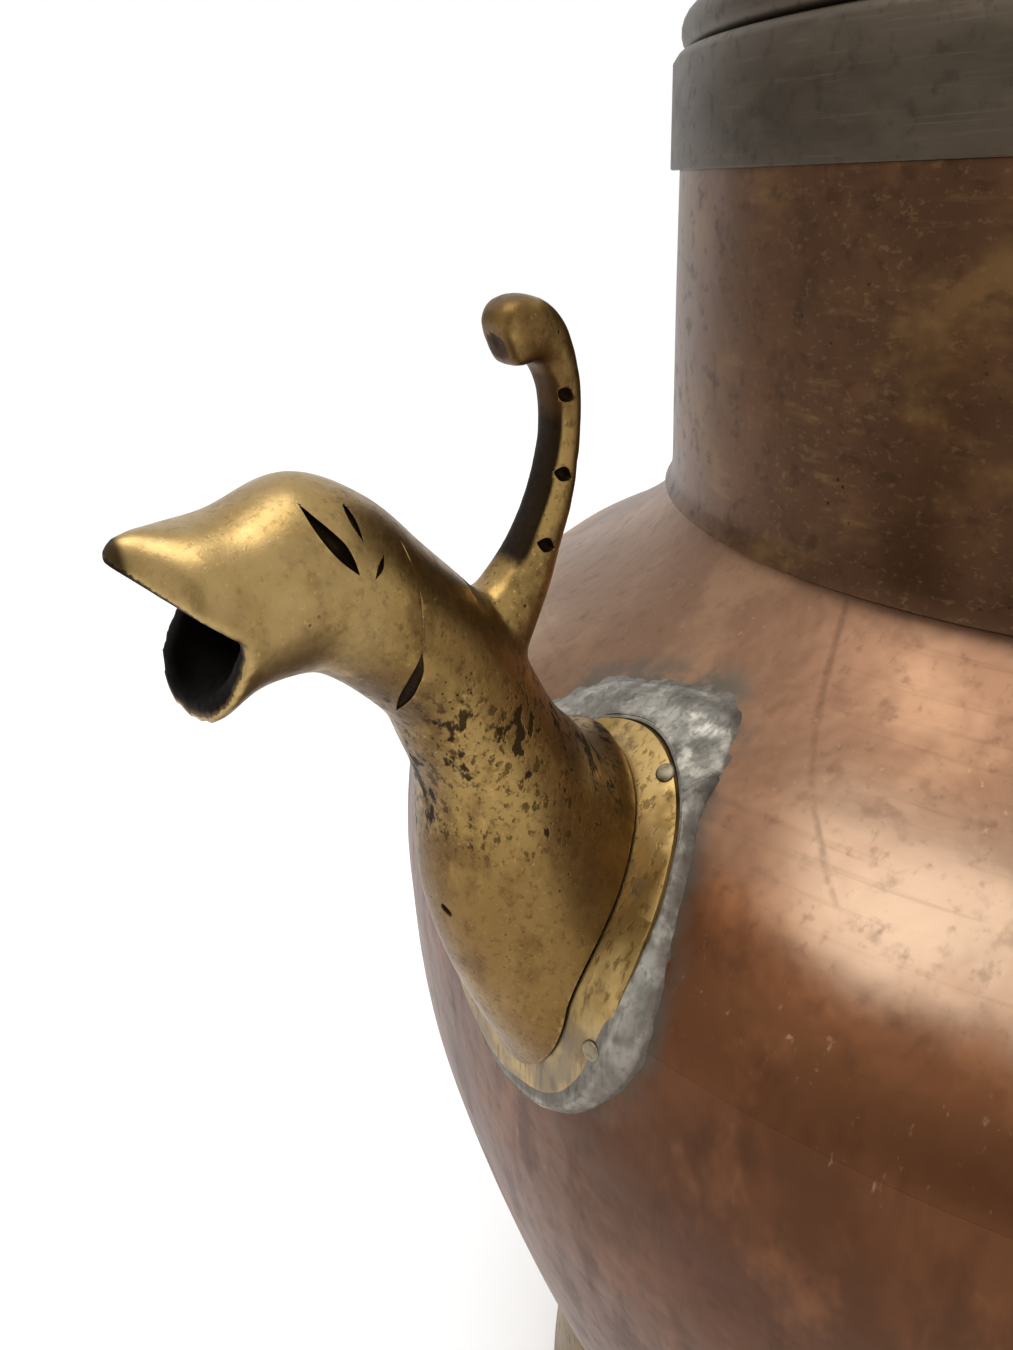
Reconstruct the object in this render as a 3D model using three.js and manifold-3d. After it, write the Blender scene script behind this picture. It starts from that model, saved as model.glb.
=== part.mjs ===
// A big copper jug with a cast brass bird-headed spout, a hinged lid and a cast handle.
// Millimetres, Z up. The jug's axis is Z and it stands on Z = 0.
// The spout points towards -X, the handle and the lid's hinge lie on the +X side.
import * as THREE from 'three';
import { mergeVertices } from 'three/addons/utils/BufferGeometryUtils.js';
import Module from 'manifold-3d';

const wasm = await Module();
wasm.setup();
const { Manifold, Mesh: SolidMesh } = wasm;

// Driving sizes
const FIT = 0.3;                 // clearance between pieces that touch
const SHEET = 1.6;               // copper sheet of the body
const TURN_STEPS = 40;           // facets round a turned piece
const RIVET_STEPS = 8;
const KNOB_STEPS = 20;
const HOLLOW_STEPS = 5;          // flats down the shoulder's hollow and over its crest
const CREST_STEPS = 3;
const CUT_REACH = 45;            // how far a cutting body reaches to each side
const HOLE_REACH = 14;           // the same for a rivet's hole

const NECK_R = 89.7;             // neck, outside
const NECK_FOOT_Z = 260;         // where the neck starts to flare over the shoulder
const NECK_TOP_Z = 326;
const COLLAR_H = 6;              // shoulder's upright collar, inside the neck

const HOLLOW_R = 117;            // where the shoulder's hollow curve turns into its cone
const HOLLOW_Z = 235.5;
const RIDGE_R = 139.6;           // soft ridge between cone and bowl
const RIDGE_Z = 218.5;

const BELLY_R = 143.4;           // widest part of the bowl
const BELLY_Z = 186.5;
const BASE_R = 80;               // where the bowl's side turns into its bottom
const BASE_Z = 36;
const BOTTOM_Z = 32;             // underside of the bowl, clear of the ground

const BAND_Z = 310.5;            // lower edge of the rim band
const BAND_T = 1.2;
const LIP_T = 1.8;               // lip of the band, folded over the neck
const FOOT_R = 116.5;            // foot ring at the ground
const FOOT_TOP_Z = 58;
const FOOT_T = 2.4;

const BEAD_R = 4.3;              // rolled edge of the lid
const BEAD_STEPS = 9;
const LID_SHEET = 1.5;
const LID_RISE = 28;             // height of the dome over the middle of its rolled edge
const LID_COLLAR_H = 8;
const LID_COLLAR_T = 1.6;
const LID_COLLAR_PLAY = 1.3;     // gap round the collar inside the rim
const FINIAL_H = 32;
const FINIAL_R = 9.5;
const FINIAL_COLLAR_R = 13;
const FINIAL_COLLAR_T = 2.4;
const FINIAL_SHANK_R = 3;
const ROVE_R = 8;                // washer under the dome that the finial is peened over
const ROVE_T = 1.5;

const HINGE_OUT = 6.5;           // hinge line outside the rim band
const HINGE_UP = 8;              // hinge line over the rim band's top
const HINGE_PIN_R = 2;
const HINGE_PIN_HEAD_R = 3.4;
const HINGE_PIN_HEAD_T = 1.3;
const KNUCKLE_R = 4.2;
const KNUCKLE_W = 12;
const EAR_R = 5;
const EAR_T = 4;
const LEAF_W = 22;
const LEAF_T = 2;
const LEAF_END_R = 62;           // inner end of the lid's leaf, from the jug's axis
const BRACKET_W = 40;
const BRACKET_T = 2;

const ROOT_ANGLE = 30;           // spout root's direction over the horizontal, degrees
const ROOT_TILT = 28;            // the root sits askew on the shoulder, degrees
const ROOT_OUT = 130.5;          // root's centre from the jug's axis
const ROOT_SIDE = 4;
const ROOT_Z = 214;
const ROOT_H = 25.6;             // half height and half width of the casting's root
const ROOT_W = 16.2;
const FLANGE_H = 27;             // flange's half height, and its half width on each side
const FLANGE_NEAR_W = 20.5;
const FLANGE_FAR_W = 24;
const FLANGE_TILT = 20;
const FLANGE_SIDE = 3;           // flange's middle from the root's
const FLANGE_UP = 1.2;
const FLANGE_T = 2;
const SOLDER_T = 1.4;
// Width of the solder run beyond the flange, at even steps round it from the flange's near side
const SOLDER_WIDTHS = [
  1.8, 1.6, 2, 7.3, 9.8, 8.8, 8, 9.4, 9.5, 8, 6, 4.5, 3, 2, 1.4, 1.2, 1.4, 1.6, 2, 1.9, 2.2, 3.4, 4.7, 3.3,
];
const SPOUT_WALL = 2.4;
const SPOUT_HOLE_H = 17;         // half height and half width of the hole in the wall
const SPOUT_HOLE_W = 9.5;
const BEAK_REACH = 187.3;        // tip of the beak from the jug's axis
const CROWN_Z = 283.7;           // top of the bird's head
const HORN_OUT = 134.7;          // back of the horn, from the jug's axis
const HORN_TOP_Z = 298.7;

const HANDLE_T = 10;             // handle's thickness and width
const HANDLE_W = 17;
const HANDLE_TOP_Z = 286;        // middle of the upper plate
const HANDLE_FOOT_Z = 180;       // middle of the lower plate
const PLATE_T = 2.6;
const PLATE_W = 30;
const PLATE_H = 42;

const RIVET = { shank: 1.9, head: 3.2, rise: 1.3 };
const SPOUT_RIVET = { shank: 1, head: 1.45, rise: 0.6 };

// Colours
const COPPER = 0x8a5a3a;
const COPPER_DARK = 0x4b3423;
const BRASS = 0x96783c;
const BRASS_DARK = 0x48403a;
const SOLDER = 0x96948c;

const jug = new THREE.Group();
const rad = THREE.MathUtils.degToRad;
const V2 = (x, y) => new THREE.Vector2(x, y);
const V3 = (x, y, z) => new THREE.Vector3(x, y, z);

// Solids

function solid(geometry) {
  const bare = geometry.clone();
  bare.deleteAttribute('normal');
  bare.deleteAttribute('uv');
  const merged = mergeVertices(bare, 1e-4);
  const corners = merged.index.array;
  const kept = [];
  for (let i = 0; i < corners.length; i += 3) {
    const [a, b, c] = [corners[i], corners[i + 1], corners[i + 2]];
    if (a !== b && b !== c && c !== a) kept.push(a, b, c);
  }
  const place = merged.attributes.position;
  let volume = 0;
  for (let i = 0; i < kept.length; i += 3) {
    const [a, b, c] = [0, 1, 2].map((k) => V3().fromBufferAttribute(place, kept[i + k]));
    volume += a.dot(b.cross(c));
  }
  if (volume < 0) kept.reverse();
  return new Manifold(new SolidMesh({
    numProp: 3,
    vertProperties: Float32Array.from(place.array),
    triVerts: Uint32Array.from(kept),
  }));
}

function add(name, shape, colour, parent = jug, metalness = 1, roughness = 0.4) {
  const mesh = shape.getMesh();
  const geometry = new THREE.BufferGeometry();
  geometry.setAttribute('position', new THREE.BufferAttribute(mesh.vertProperties, 3));
  geometry.setIndex(new THREE.BufferAttribute(mesh.triVerts, 1));
  geometry.computeVertexNormals();
  const piece = new THREE.Mesh(
    geometry, new THREE.MeshStandardMaterial({ color: colour, roughness, metalness }));
  piece.name = name;
  parent.add(piece);
  return piece;
}

// A body turned about Z from a closed outline of [radius, height] points.
function turned(outline, steps = TURN_STEPS) {
  const points = outline.map(([r, z]) => V2(Math.max(r, 0), z));
  points.push(points[0].clone());
  const lathe = new THREE.LatheGeometry(points, steps);
  lathe.rotateX(Math.PI / 2);
  return solid(lathe);
}

// A prism: an outline in its own plane, pushed along that plane's normal from near to far.
function prism(outline, centre, across, upward, near, far) {
  const shape = new THREE.Shape(outline.map(([u, v]) => V2(u, v)));
  const body = new THREE.ExtrudeGeometry(shape, { depth: far - near, bevelEnabled: false });
  const normal = across.clone().cross(upward);
  const frame = new THREE.Matrix4().makeBasis(across, upward, normal);
  frame.setPosition(centre.clone().addScaledVector(normal, near));
  body.applyMatrix4(frame);
  return solid(body);
}

// A prism along Y from an outline in X and Z.
function sideways(outline, width, y = 0) {
  return prism(outline, V3(0, y, 0), V3(1, 0, 0), V3(0, 0, 1), -width / 2, width / 2);
}

// A rod about a line through a point, turned from a closed outline of [radius, along] points.
function rod(outline, centre, direction, steps) {
  const points = outline.map(([r, t]) => V2(r, t));
  const lathe = new THREE.LatheGeometry(points, steps);
  const turn = new THREE.Quaternion().setFromUnitVectors(V3(0, 1, 0), direction.clone().normalize());
  lathe.applyQuaternion(turn);
  lathe.translate(centre.x, centre.y, centre.z);
  return solid(lathe);
}

// A body through oval sections. heading is the angle of travel in the XZ plane, thick and wide are
// half sizes in that plane and across it, roll turns the oval and power squares it.
function loft(sections, sides) {
  const rings = sections.map(({ at, heading, thick, wide, roll = 0, power = 2 }) => {
    const up = V3(-Math.sin(rad(heading)), 0, Math.cos(rad(heading)));
    const ring = [];
    for (let k = 0; k < sides; k += 1) {
      const turn = (k + 0.5) / sides * Math.PI * 2;
      const round = (x) => Math.sign(x) * Math.abs(x) ** (2 / power);
      const u = V2(wide * round(Math.cos(turn)), thick * round(Math.sin(turn)));
      u.rotateAround(V2(0, 0), rad(roll));
      ring.push(V3(...at).addScaledVector(up, u.y).add(V3(0, u.x, 0)));
    }
    return ring;
  });
  const places = rings.flat();
  const faces = [];
  for (let i = 0; i + 1 < rings.length; i += 1) {
    for (let k = 0; k < sides; k += 1) {
      const [a, b] = [i * sides + k, i * sides + (k + 1) % sides];
      faces.push(a, b, b + sides, a, b + sides, a + sides);
    }
  }
  const last = (rings.length - 1) * sides;
  places.push(V3(...sections[0].at), V3(...sections[sections.length - 1].at));
  for (let k = 0; k < sides; k += 1) {
    const next = (k + 1) % sides;
    faces.push(next, k, places.length - 2, last + k, last + next, places.length - 1);
  }
  const body = new THREE.BufferGeometry().setFromPoints(places);
  body.setIndex(faces);
  return solid(body);
}

// An outline moved outwards (to its left when walked from top to bottom) by a distance.
function offset(line, distance) {
  return line.map(([r, z], i) => {
    const before = V2(...line[Math.max(i - 1, 0)]);
    const after = V2(...line[Math.min(i + 1, line.length - 1)]);
    const along = after.sub(before).normalize();
    return [r - along.y * distance, z + along.x * distance];
  });
}

// The metal between two offsets of an outline.
const skin = (line, inner, outer) => [...offset(line, outer), ...offset(line, inner).reverse()];

// Wall of the vessel, outside, walked from the shoulder's collar down to the middle of the bottom

const collarR = NECK_R - SHEET - FIT;
const lapR = RIDGE_R + 2;        // where the shoulder ends over the bowl
const lapZ = RIDGE_Z - 6;

function shoulderLine() {
  const hollow = new THREE.CubicBezierCurve(
    V2(collarR, NECK_FOOT_Z), V2(collarR, NECK_FOOT_Z - 4),
    V2(collarR + 2.2, HOLLOW_Z + 12.5), V2(HOLLOW_R, HOLLOW_Z));
  const crest = new THREE.QuadraticBezierCurve(
    V2(RIDGE_R - 4, RIDGE_Z + 3.5), V2(RIDGE_R + 0.6, RIDGE_Z), V2(lapR, lapZ));
  return [
    [collarR, NECK_FOOT_Z + COLLAR_H],
    ...hollow.getPoints(HOLLOW_STEPS).map((p) => [p.x, p.y]),
    ...crest.getPoints(CREST_STEPS).map((p) => [p.x, p.y]),
  ];
}

function bowlLine() {
  const rise = BELLY_Z - BASE_Z;
  const side = new THREE.SplineCurve([
    V2(lapR, lapZ), V2(BELLY_R - 0.4, BELLY_Z + 13), V2(BELLY_R, BELLY_Z),
    V2(BELLY_R * 0.988, BELLY_Z - rise * 0.165), V2(BELLY_R * 0.935, BELLY_Z - rise * 0.38),
    V2(BELLY_R * 0.861, BELLY_Z - rise * 0.6), V2(BELLY_R * 0.767, BELLY_Z - rise * 0.827),
    V2(BASE_R, BASE_Z),
  ]);
  return [...side.getPoints(10).map((p) => [p.x, p.y]), [BASE_R * 0.72, BOTTOM_Z], [0, BOTTOM_Z]];
}

const shoulderOutline = shoulderLine();
const wall = [...shoulderOutline, ...bowlLine().slice(1)];
const lapEnd = shoulderOutline.length - 1;
const lapStart = lapEnd - CREST_STEPS;
const flareEnd = 3;              // the neck's flare follows the wall down to this point

// Radius of the wall at a height, outside
function wallRadius(z) {
  for (let i = 0; i + 1 < wall.length; i += 1) {
    const [[r0, z0], [r1, z1]] = [wall[i], wall[i + 1]];
    if (z <= z0 && z >= z1 && z0 > z1) return r0 + (r1 - r0) * (z0 - z) / (z0 - z1);
  }
  return 0;
}

// Angle of the wall's outward normal over the horizontal
function wallPitch(z) {
  const step = 3;
  return Math.atan2(wallRadius(z - step) - wallRadius(z + step), 2 * step);
}

// The whole jug as a plug, grown by a distance: what is bent to the wall is cut by it
function core(distance) {
  const side = offset(wall, distance).slice(flareEnd, -1);
  const neckR = NECK_R + distance;
  return turned([
    [0, NECK_TOP_Z + 20], [neckR, NECK_TOP_Z + 20], [neckR, NECK_FOOT_Z], ...side, [0, BOTTOM_Z - distance],
  ]);
}

// Copper body

const bowlSide = wall.slice(lapEnd);
const rim = wall.slice(lapStart, lapEnd + 1);
let bowl = turned([
  ...offset(rim, -SHEET - FIT), [lapR - 0.2, lapZ - 2 * FIT], ...bowlSide.slice(1),
  [0, BOTTOM_Z + SHEET], ...offset(bowlSide, -SHEET).slice(1, -1).reverse(),
  ...offset(rim, -2 * SHEET - FIT).reverse(),
]);
let shoulder = turned(skin(shoulderOutline, -SHEET, 0));
const flare = wall.slice(1, flareEnd + 1);
let neck = turned([
  [NECK_R, NECK_TOP_Z], ...offset(flare, FIT + SHEET),
  ...offset(flare, FIT).reverse(), [NECK_R - SHEET, NECK_TOP_Z],
]);

// Rim band, folded over the neck's edge

const bandIn = NECK_R + FIT;
const bandOut = bandIn + BAND_T;
const lipBottom = NECK_TOP_Z + FIT;
const lipTop = lipBottom + LIP_T;
const lipIn = NECK_R - SHEET - 0.2;
const lipCrest = (lipIn + bandOut) / 2 - 0.6;
let band = turned([
  [bandIn, BAND_Z], [bandOut, BAND_Z], [bandOut, lipTop - 1.5], [bandOut - 1, lipTop],
  [lipCrest, lipTop], [lipIn, lipTop - 0.8], [lipIn, lipBottom], [bandIn, lipBottom],
]);

// Foot ring: its top edge leans in to the bowl

const footTopR = wallRadius(FOOT_TOP_Z) + FIT;
const footRing = turned([
  [footTopR + FOOT_T * 0.7, FOOT_TOP_Z + 1], [FOOT_R - 4.5, FOOT_TOP_Z - 8],
  [FOOT_R - 3.2, FOOT_TOP_Z * 0.65], [FOOT_R - 1.6, FOOT_TOP_Z * 0.28], [FOOT_R, 3], [FOOT_R, 0],
  [FOOT_R - FOOT_T - 0.8, 0], [FOOT_R - FOOT_T - 0.8, 3],
  [FOOT_R - FOOT_T - 1.6, FOOT_TOP_Z * 0.28], [FOOT_R - FOOT_T - 3.2, FOOT_TOP_Z * 0.65],
  [FOOT_R - FOOT_T - 4.5, FOOT_TOP_Z - 9], [footTopR, FOOT_TOP_Z],
]);

// Spout root: an oval on a slanting plane, turned askew

const rootNormal = V3(-Math.cos(rad(ROOT_ANGLE)), 0, Math.sin(rad(ROOT_ANGLE)));
const rootUp = V3(Math.sin(rad(ROOT_ANGLE)), 0, Math.cos(rad(ROOT_ANGLE)));
const rootAcross = rootUp.clone().cross(rootNormal);
const rootCentre = V3(-ROOT_OUT, ROOT_SIDE, ROOT_Z);

function oval(halfW, halfH, steps, farW = halfW) {
  const outline = [];
  for (let k = 0; k < steps; k += 1) {
    const turn = k / steps * Math.PI * 2;
    const [across, up] = [Math.cos(turn), Math.sin(turn)];
    outline.push([(across > 0 ? halfW : farW) * across, halfH * up]);
  }
  return outline;
}

// An outline in the root's plane, turned askew and moved
const askew = (outline, tilt, side = 0, up = 0) => outline.map(([u, v]) =>
  V2(u, v).rotateAround(V2(0, 0), rad(tilt)).add(V2(side, up)).toArray());

const rootPrism = (outline) =>
  prism(outline, rootCentre, rootAcross, rootUp, -CUT_REACH, CUT_REACH);
const onFlange = (outline) => askew(outline, FLANGE_TILT, FLANGE_SIDE, FLANGE_UP);
const flangeOval = (margin, steps = 28) => onFlange(
  oval(FLANGE_NEAR_W + margin, FLANGE_H + margin, steps, FLANGE_FAR_W + margin));
const wallHole = rootPrism(askew(oval(SPOUT_HOLE_W, SPOUT_HOLE_H, 16), ROOT_TILT));
const rootGap = FIT + FLANGE_T + FIT;
const flangeSkin = core(FIT + FLANGE_T).subtract(core(FIT));
const solderSkin = core(FIT + SOLDER_T).subtract(core(FIT));

let flange = flangeSkin.intersect(rootPrism(flangeOval(0))).subtract(wallHole);
const solderSteps = SOLDER_WIDTHS.length;
const solderEdge = SOLDER_WIDTHS.map((width, k) => flangeOval(width, solderSteps)[k]);
let solder = solderSkin.intersect(rootPrism(solderEdge)).subtract(rootPrism(flangeOval(FIT)));

// Spout casting: sections from inside the wall up the neck and through the head. The heading is
// measured from +X, so 180 points out over the beak and 90 straight up.

const spoutSections = [
  { at: [-(ROOT_OUT - 14), ROOT_SIDE, ROOT_Z - 8], heading: 150, thick: ROOT_H, wide: ROOT_W, roll: 1,
    power: 2.1 },
  { at: [-(ROOT_OUT + 0.5), ROOT_SIDE, ROOT_Z], heading: 150, thick: ROOT_H, wide: ROOT_W, roll: 1,
    power: 2.1 },
  { at: [-(ROOT_OUT + 4), ROOT_SIDE, ROOT_Z + 5.5], heading: 147, thick: 24.3, wide: 16, roll: 1,
    power: 2.1 },
  { at: [-(ROOT_OUT + 7.7), ROOT_SIDE - 0.2, ROOT_Z + 11], heading: 138, thick: 20.2, wide: 14.9, roll: 0.9 },
  { at: [-(ROOT_OUT + 11.3), ROOT_SIDE - 1.1, ROOT_Z + 19.5], heading: 120, thick: 15, wide: 12.8, roll: 0.6 },
  { at: [-(ROOT_OUT + 13), 1.8, ROOT_Z + 28], heading: 107, thick: 11.6, wide: 10.8, roll: 0.2 },
  { at: [-(ROOT_OUT + 15.1), 1.1, ROOT_Z + 32.6], heading: 104, thick: 10, wide: 9.8 },
  { at: [-(ROOT_OUT + 16.9), 0.7, ROOT_Z + 36.2], heading: 110, thick: 9.4, wide: 9.2 },
  { at: [-(ROOT_OUT + 19.1), 0.4, ROOT_Z + 40.6], heading: 124, thick: 9.2, wide: 9.1 },
  { at: [-(BEAK_REACH - 34.2), 0.2, CROWN_Z - 23.1], heading: 143, thick: 9.1, wide: 9.2 },
  { at: [-(BEAK_REACH - 29), 0, CROWN_Z - 17.4], heading: 152, thick: 9.3, wide: 9.6 },
  { at: [-(BEAK_REACH - 24.4), 0, CROWN_Z - 12.9], heading: 161, thick: 10.1, wide: 10 },
  { at: [-(BEAK_REACH - 19), 0, CROWN_Z - 10.2], heading: 177, thick: 10.7, wide: 10.2 },
  { at: [-(BEAK_REACH - 11.8), 0, CROWN_Z - 11.5], heading: 181, thick: 9.4, wide: 9.8, power: 2.2 },
  { at: [-(BEAK_REACH - 6.8), 0, CROWN_Z - 13.1], heading: 180, thick: 10.4, wide: 9.2, power: 2.5 },
  { at: [-(BEAK_REACH - 2.9), 0, CROWN_Z - 12.6], heading: 180, thick: 10.2, wide: 4.8 },
  { at: [-BEAK_REACH, 0, CROWN_Z - 12.6], heading: 180, thick: 9.5, wide: 1.3 },
];
const hornSections = [
  { at: [-(HORN_OUT + 10.3), 0, HORN_TOP_Z - 37.7], heading: 55, thick: 4.6, wide: 4.6, power: 3 },
  { at: [-(HORN_OUT + 5.5), 0, HORN_TOP_Z - 31.1], heading: 56, thick: 3.2, wide: 3.6, power: 4 },
  { at: [-(HORN_OUT + 3.2), 0, HORN_TOP_Z - 26.7], heading: 60, thick: 2.6, wide: 3.1, power: 5 },
  { at: [-(HORN_OUT + 1.2), 0, HORN_TOP_Z - 22], heading: 68, thick: 2.4, wide: 2.8, power: 5 },
  { at: [-(HORN_OUT - 0.2), 0, HORN_TOP_Z - 15.5], heading: 80, thick: 2.1, wide: 2.6, power: 5 },
  { at: [-(HORN_OUT - 0.2), 0, HORN_TOP_Z - 10], heading: 94, thick: 2.1, wide: 2.8, power: 5 },
  { at: [-(HORN_OUT + 1.4), 0, HORN_TOP_Z - 5.4], heading: 122, thick: 2.5, wide: 3.2, power: 5 },
  { at: [-(HORN_OUT + 3.8), 0, HORN_TOP_Z - 3.7], heading: 155, thick: 3.7, wide: 3.6, power: 4 },
  { at: [-(HORN_OUT + 6.1), 0, HORN_TOP_Z - 3.7], heading: 190, thick: 4.1, wide: 3.7, power: 4 },
  { at: [-(HORN_OUT + 7.9), 0, HORN_TOP_Z - 4.5], heading: 200, thick: 2.9, wide: 3, power: 3 },
];
const beakSections = spoutSections.map((section) => ({ ...section, roll: (section.roll ?? 0) * ROOT_TILT }));
// The bore stops in the upper jaw and runs on over the lower lip
const boreSections = beakSections.slice(0, -2).map((section) => ({
  ...section, thick: section.thick - SPOUT_WALL, wide: section.wide - SPOUT_WALL,
}));
boreSections.push({ at: [-(BEAK_REACH - 3.8), 0, CROWN_Z - 17], heading: 180, thick: 5.2, wide: 6.4 });
// The open beak: upper lip, corner of the mouth and lower lip, seen from the side
const gape = sideways([
  [-(BEAK_REACH + 10), CROWN_Z + 3], [-(BEAK_REACH + 0.3), CROWN_Z - 4.8],
  [-(BEAK_REACH - 9.7), CROWN_Z - 13.4], [-(BEAK_REACH - 7), CROWN_Z - 18.4],
  [-(BEAK_REACH - 5.9), CROWN_Z - 21.2], [-(BEAK_REACH - 6.2), CROWN_Z - 27],
  [-(BEAK_REACH + 10), CROWN_Z - 27],
], 2 * CUT_REACH);
const casting = loft(beakSections, 20)
  .add(loft(hornSections, 12))
  .subtract(loft(boreSections, 16))
  .subtract(gape)
  .subtract(core(rootGap));

// Rivets

// outside and inside are the faces that the heads clamp, along the outward line from the seat
function rivet(seat, outward, outside, inside, size) {
  const headOut = outside + 2 * FIT;
  const headIn = inside - 2 * FIT;
  return rod([
    [0, headIn - size.rise * 0.7], [size.head * 0.8, headIn - size.rise * 0.5],
    [size.head * 0.9, headIn], [size.shank, headIn], [size.shank, headOut], [size.head, headOut],
    [size.head * 0.8, headOut + size.rise * 0.7], [0, headOut + size.rise],
  ], seat, outward, RIVET_STEPS);
}

const rivetHole = (seat, outward, size) =>
  rod([
    [0, -HOLE_REACH], [size.shank + FIT, -HOLE_REACH], [size.shank + FIT, HOLE_REACH], [0, HOLE_REACH],
  ], seat, outward, RIVET_STEPS);

// Room for a rivet's head over a plate's face
const headRoom = (seat, outward, outside, size) => rod([
  [0, outside + FIT], [size.head + 2 * FIT, outside + FIT],
  [size.head + 2 * FIT, HOLE_REACH], [0, HOLE_REACH],
], seat, outward, RIVET_STEPS);

// A place on the wall or the neck at a height, and the direction that faces out of it there
function seatOn(side, y, z, radius, pitch) {
  const seat = V3(side * Math.sqrt(radius * radius - y * y), y, z);
  const outward = V3(seat.x, seat.y, 0).normalize().multiplyScalar(Math.cos(pitch));
  return { seat, outward: outward.setZ(Math.sin(pitch)) };
}

// Where a line through a rivet's place on the flange meets the wall
function seatOnFlange(turn) {
  const reach = 0.92;
  const width = Math.cos(rad(turn)) > 0 ? FLANGE_NEAR_W : FLANGE_FAR_W;
  const [[u, v]] = onFlange([[
    width * reach * Math.cos(rad(turn)), FLANGE_H * reach * Math.sin(rad(turn)),
  ]]);
  const place = rootCentre.clone().addScaledVector(rootAcross, u)
    .addScaledVector(rootUp, v).addScaledVector(rootNormal, CUT_REACH);
  while (Math.hypot(place.x, place.y) > wallRadius(place.z) && place.x < 0) {
    place.addScaledVector(rootNormal, -0.1);
  }
  return seatOn(-1, place.y, place.z, Math.hypot(place.x, place.y), wallPitch(place.z));
}

const spoutRivets = [47, 160, 208, 318].map(seatOnFlange);
const lapDepth = 2 * SHEET + FIT;
spoutRivets.forEach(({ seat, outward }, i) => {
  const hole = rivetHole(seat, outward, SPOUT_RIVET);
  flange = flange.subtract(hole);
  solder = solder.subtract(hole);
  shoulder = shoulder.subtract(hole);
  bowl = bowl.subtract(hole);
  const shank = rivet(seat, outward, FIT + FLANGE_T, -lapDepth, SPOUT_RIVET);
  add(`spout_rivet_${i + 1}`, shank, COPPER_DARK);
});

// Handle: a cast strap from the neck to the belly, with a plate at each end

const handleReach = BEAK_REACH - HANDLE_T / 2;
const bellyR = wallRadius(HANDLE_FOOT_Z);
const handleDrop = HANDLE_TOP_Z - HANDLE_FOOT_Z;
const strapRoute = new THREE.CatmullRomCurve3([
  V3(NECK_R - 3, 0, HANDLE_TOP_Z - 2), V3(NECK_R + 18, 0, HANDLE_TOP_Z + 7),
  V3(NECK_R + 45, 0, HANDLE_TOP_Z + 12), V3(handleReach - 18, 0, HANDLE_TOP_Z + 1),
  V3(handleReach - 2.5, 0, HANDLE_TOP_Z - handleDrop * 0.22),
  V3(handleReach, 0, HANDLE_TOP_Z - handleDrop * 0.4),
  V3(handleReach - 9, 0, HANDLE_TOP_Z - handleDrop * 0.68),
  V3((handleReach + bellyR) / 2 - 1, 0, HANDLE_FOOT_Z + handleDrop * 0.1),
  V3(bellyR - 4, 0, HANDLE_FOOT_Z),
]);
const strapSteps = 18;
const strap = [];
for (let k = 0; k <= strapSteps; k += 1) {
  const t = k / strapSteps;
  const at = strapRoute.getPoint(t);
  const along = strapRoute.getTangent(t);
  const waist = 1 - 0.18 * Math.sin(Math.PI * t);
  strap.push({
    at: at.toArray(), heading: THREE.MathUtils.radToDeg(Math.atan2(along.z, along.x)),
    thick: HANDLE_T / 2, wide: HANDLE_W / 2 * waist, power: 2.6,
  });
}
const plateOval = (z) => prism(
  oval(PLATE_W / 2, PLATE_H / 2, 20),
  V3(0, 0, z), V3(0, 1, 0), V3(0, 0, 1), NECK_R / 2, BEAK_REACH);
const plateSkin = core(FIT + PLATE_T).subtract(core(FIT));
let handle = loft(strap, 14)
  .subtract(core(FIT))
  .add(plateSkin.intersect(plateOval(HANDLE_TOP_Z)))
  .add(plateSkin.intersect(plateOval(HANDLE_FOOT_Z)));

const handleRivets = [
  [0, PLATE_H * 0.34], [PLATE_W * 0.28, -PLATE_H * 0.25], [-PLATE_W * 0.28, -PLATE_H * 0.25],
];
handleRivets.forEach(([across, up], i) => {
  const spots = {
    upper: seatOn(1, across, HANDLE_TOP_Z + up, NECK_R, 0),
    lower: seatOn(1, across, HANDLE_FOOT_Z - up, wallRadius(HANDLE_FOOT_Z - up),
      wallPitch(HANDLE_FOOT_Z - up)),
  };
  Object.entries(spots).forEach(([end, { seat, outward }]) => {
    const hole = rivetHole(seat, outward, RIVET);
    handle = handle.subtract(hole).subtract(headRoom(seat, outward, FIT + PLATE_T, RIVET));
    if (end === 'upper') neck = neck.subtract(hole);
    else bowl = bowl.subtract(hole);
    add(`handle_rivet_${end}_${i + 1}`, rivet(seat, outward, FIT + PLATE_T, -SHEET, RIVET), BRASS);
  });
});

// Lid: dome, rolled edge, locating collar and finial

const beadMid = bandOut - 1.2 - BEAD_R;
const beadZ = lipTop + Math.sqrt((BEAD_R + FIT) ** 2 - (lipCrest - beadMid) ** 2);
const onBead = (degrees, out) =>
  [beadMid + (BEAD_R + out) * Math.cos(rad(degrees)), beadZ + (BEAD_R + out) * Math.sin(rad(degrees))];
const bead = [];
for (let k = 0; k < BEAD_STEPS; k += 1) bead.push(onBead((k + 0.5) * 360 / BEAD_STEPS, 0));
const lidRim = turned(bead);
const collarOut = lipIn - LID_COLLAR_PLAY;
const collarTopZ = beadZ - BEAD_R - FIT;
const lidCollar = turned([
  [collarOut, collarTopZ], [collarOut, collarTopZ - LID_COLLAR_H],
  [collarOut - LID_COLLAR_T, collarTopZ - LID_COLLAR_H], [collarOut - LID_COLLAR_T, collarTopZ],
]);

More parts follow.
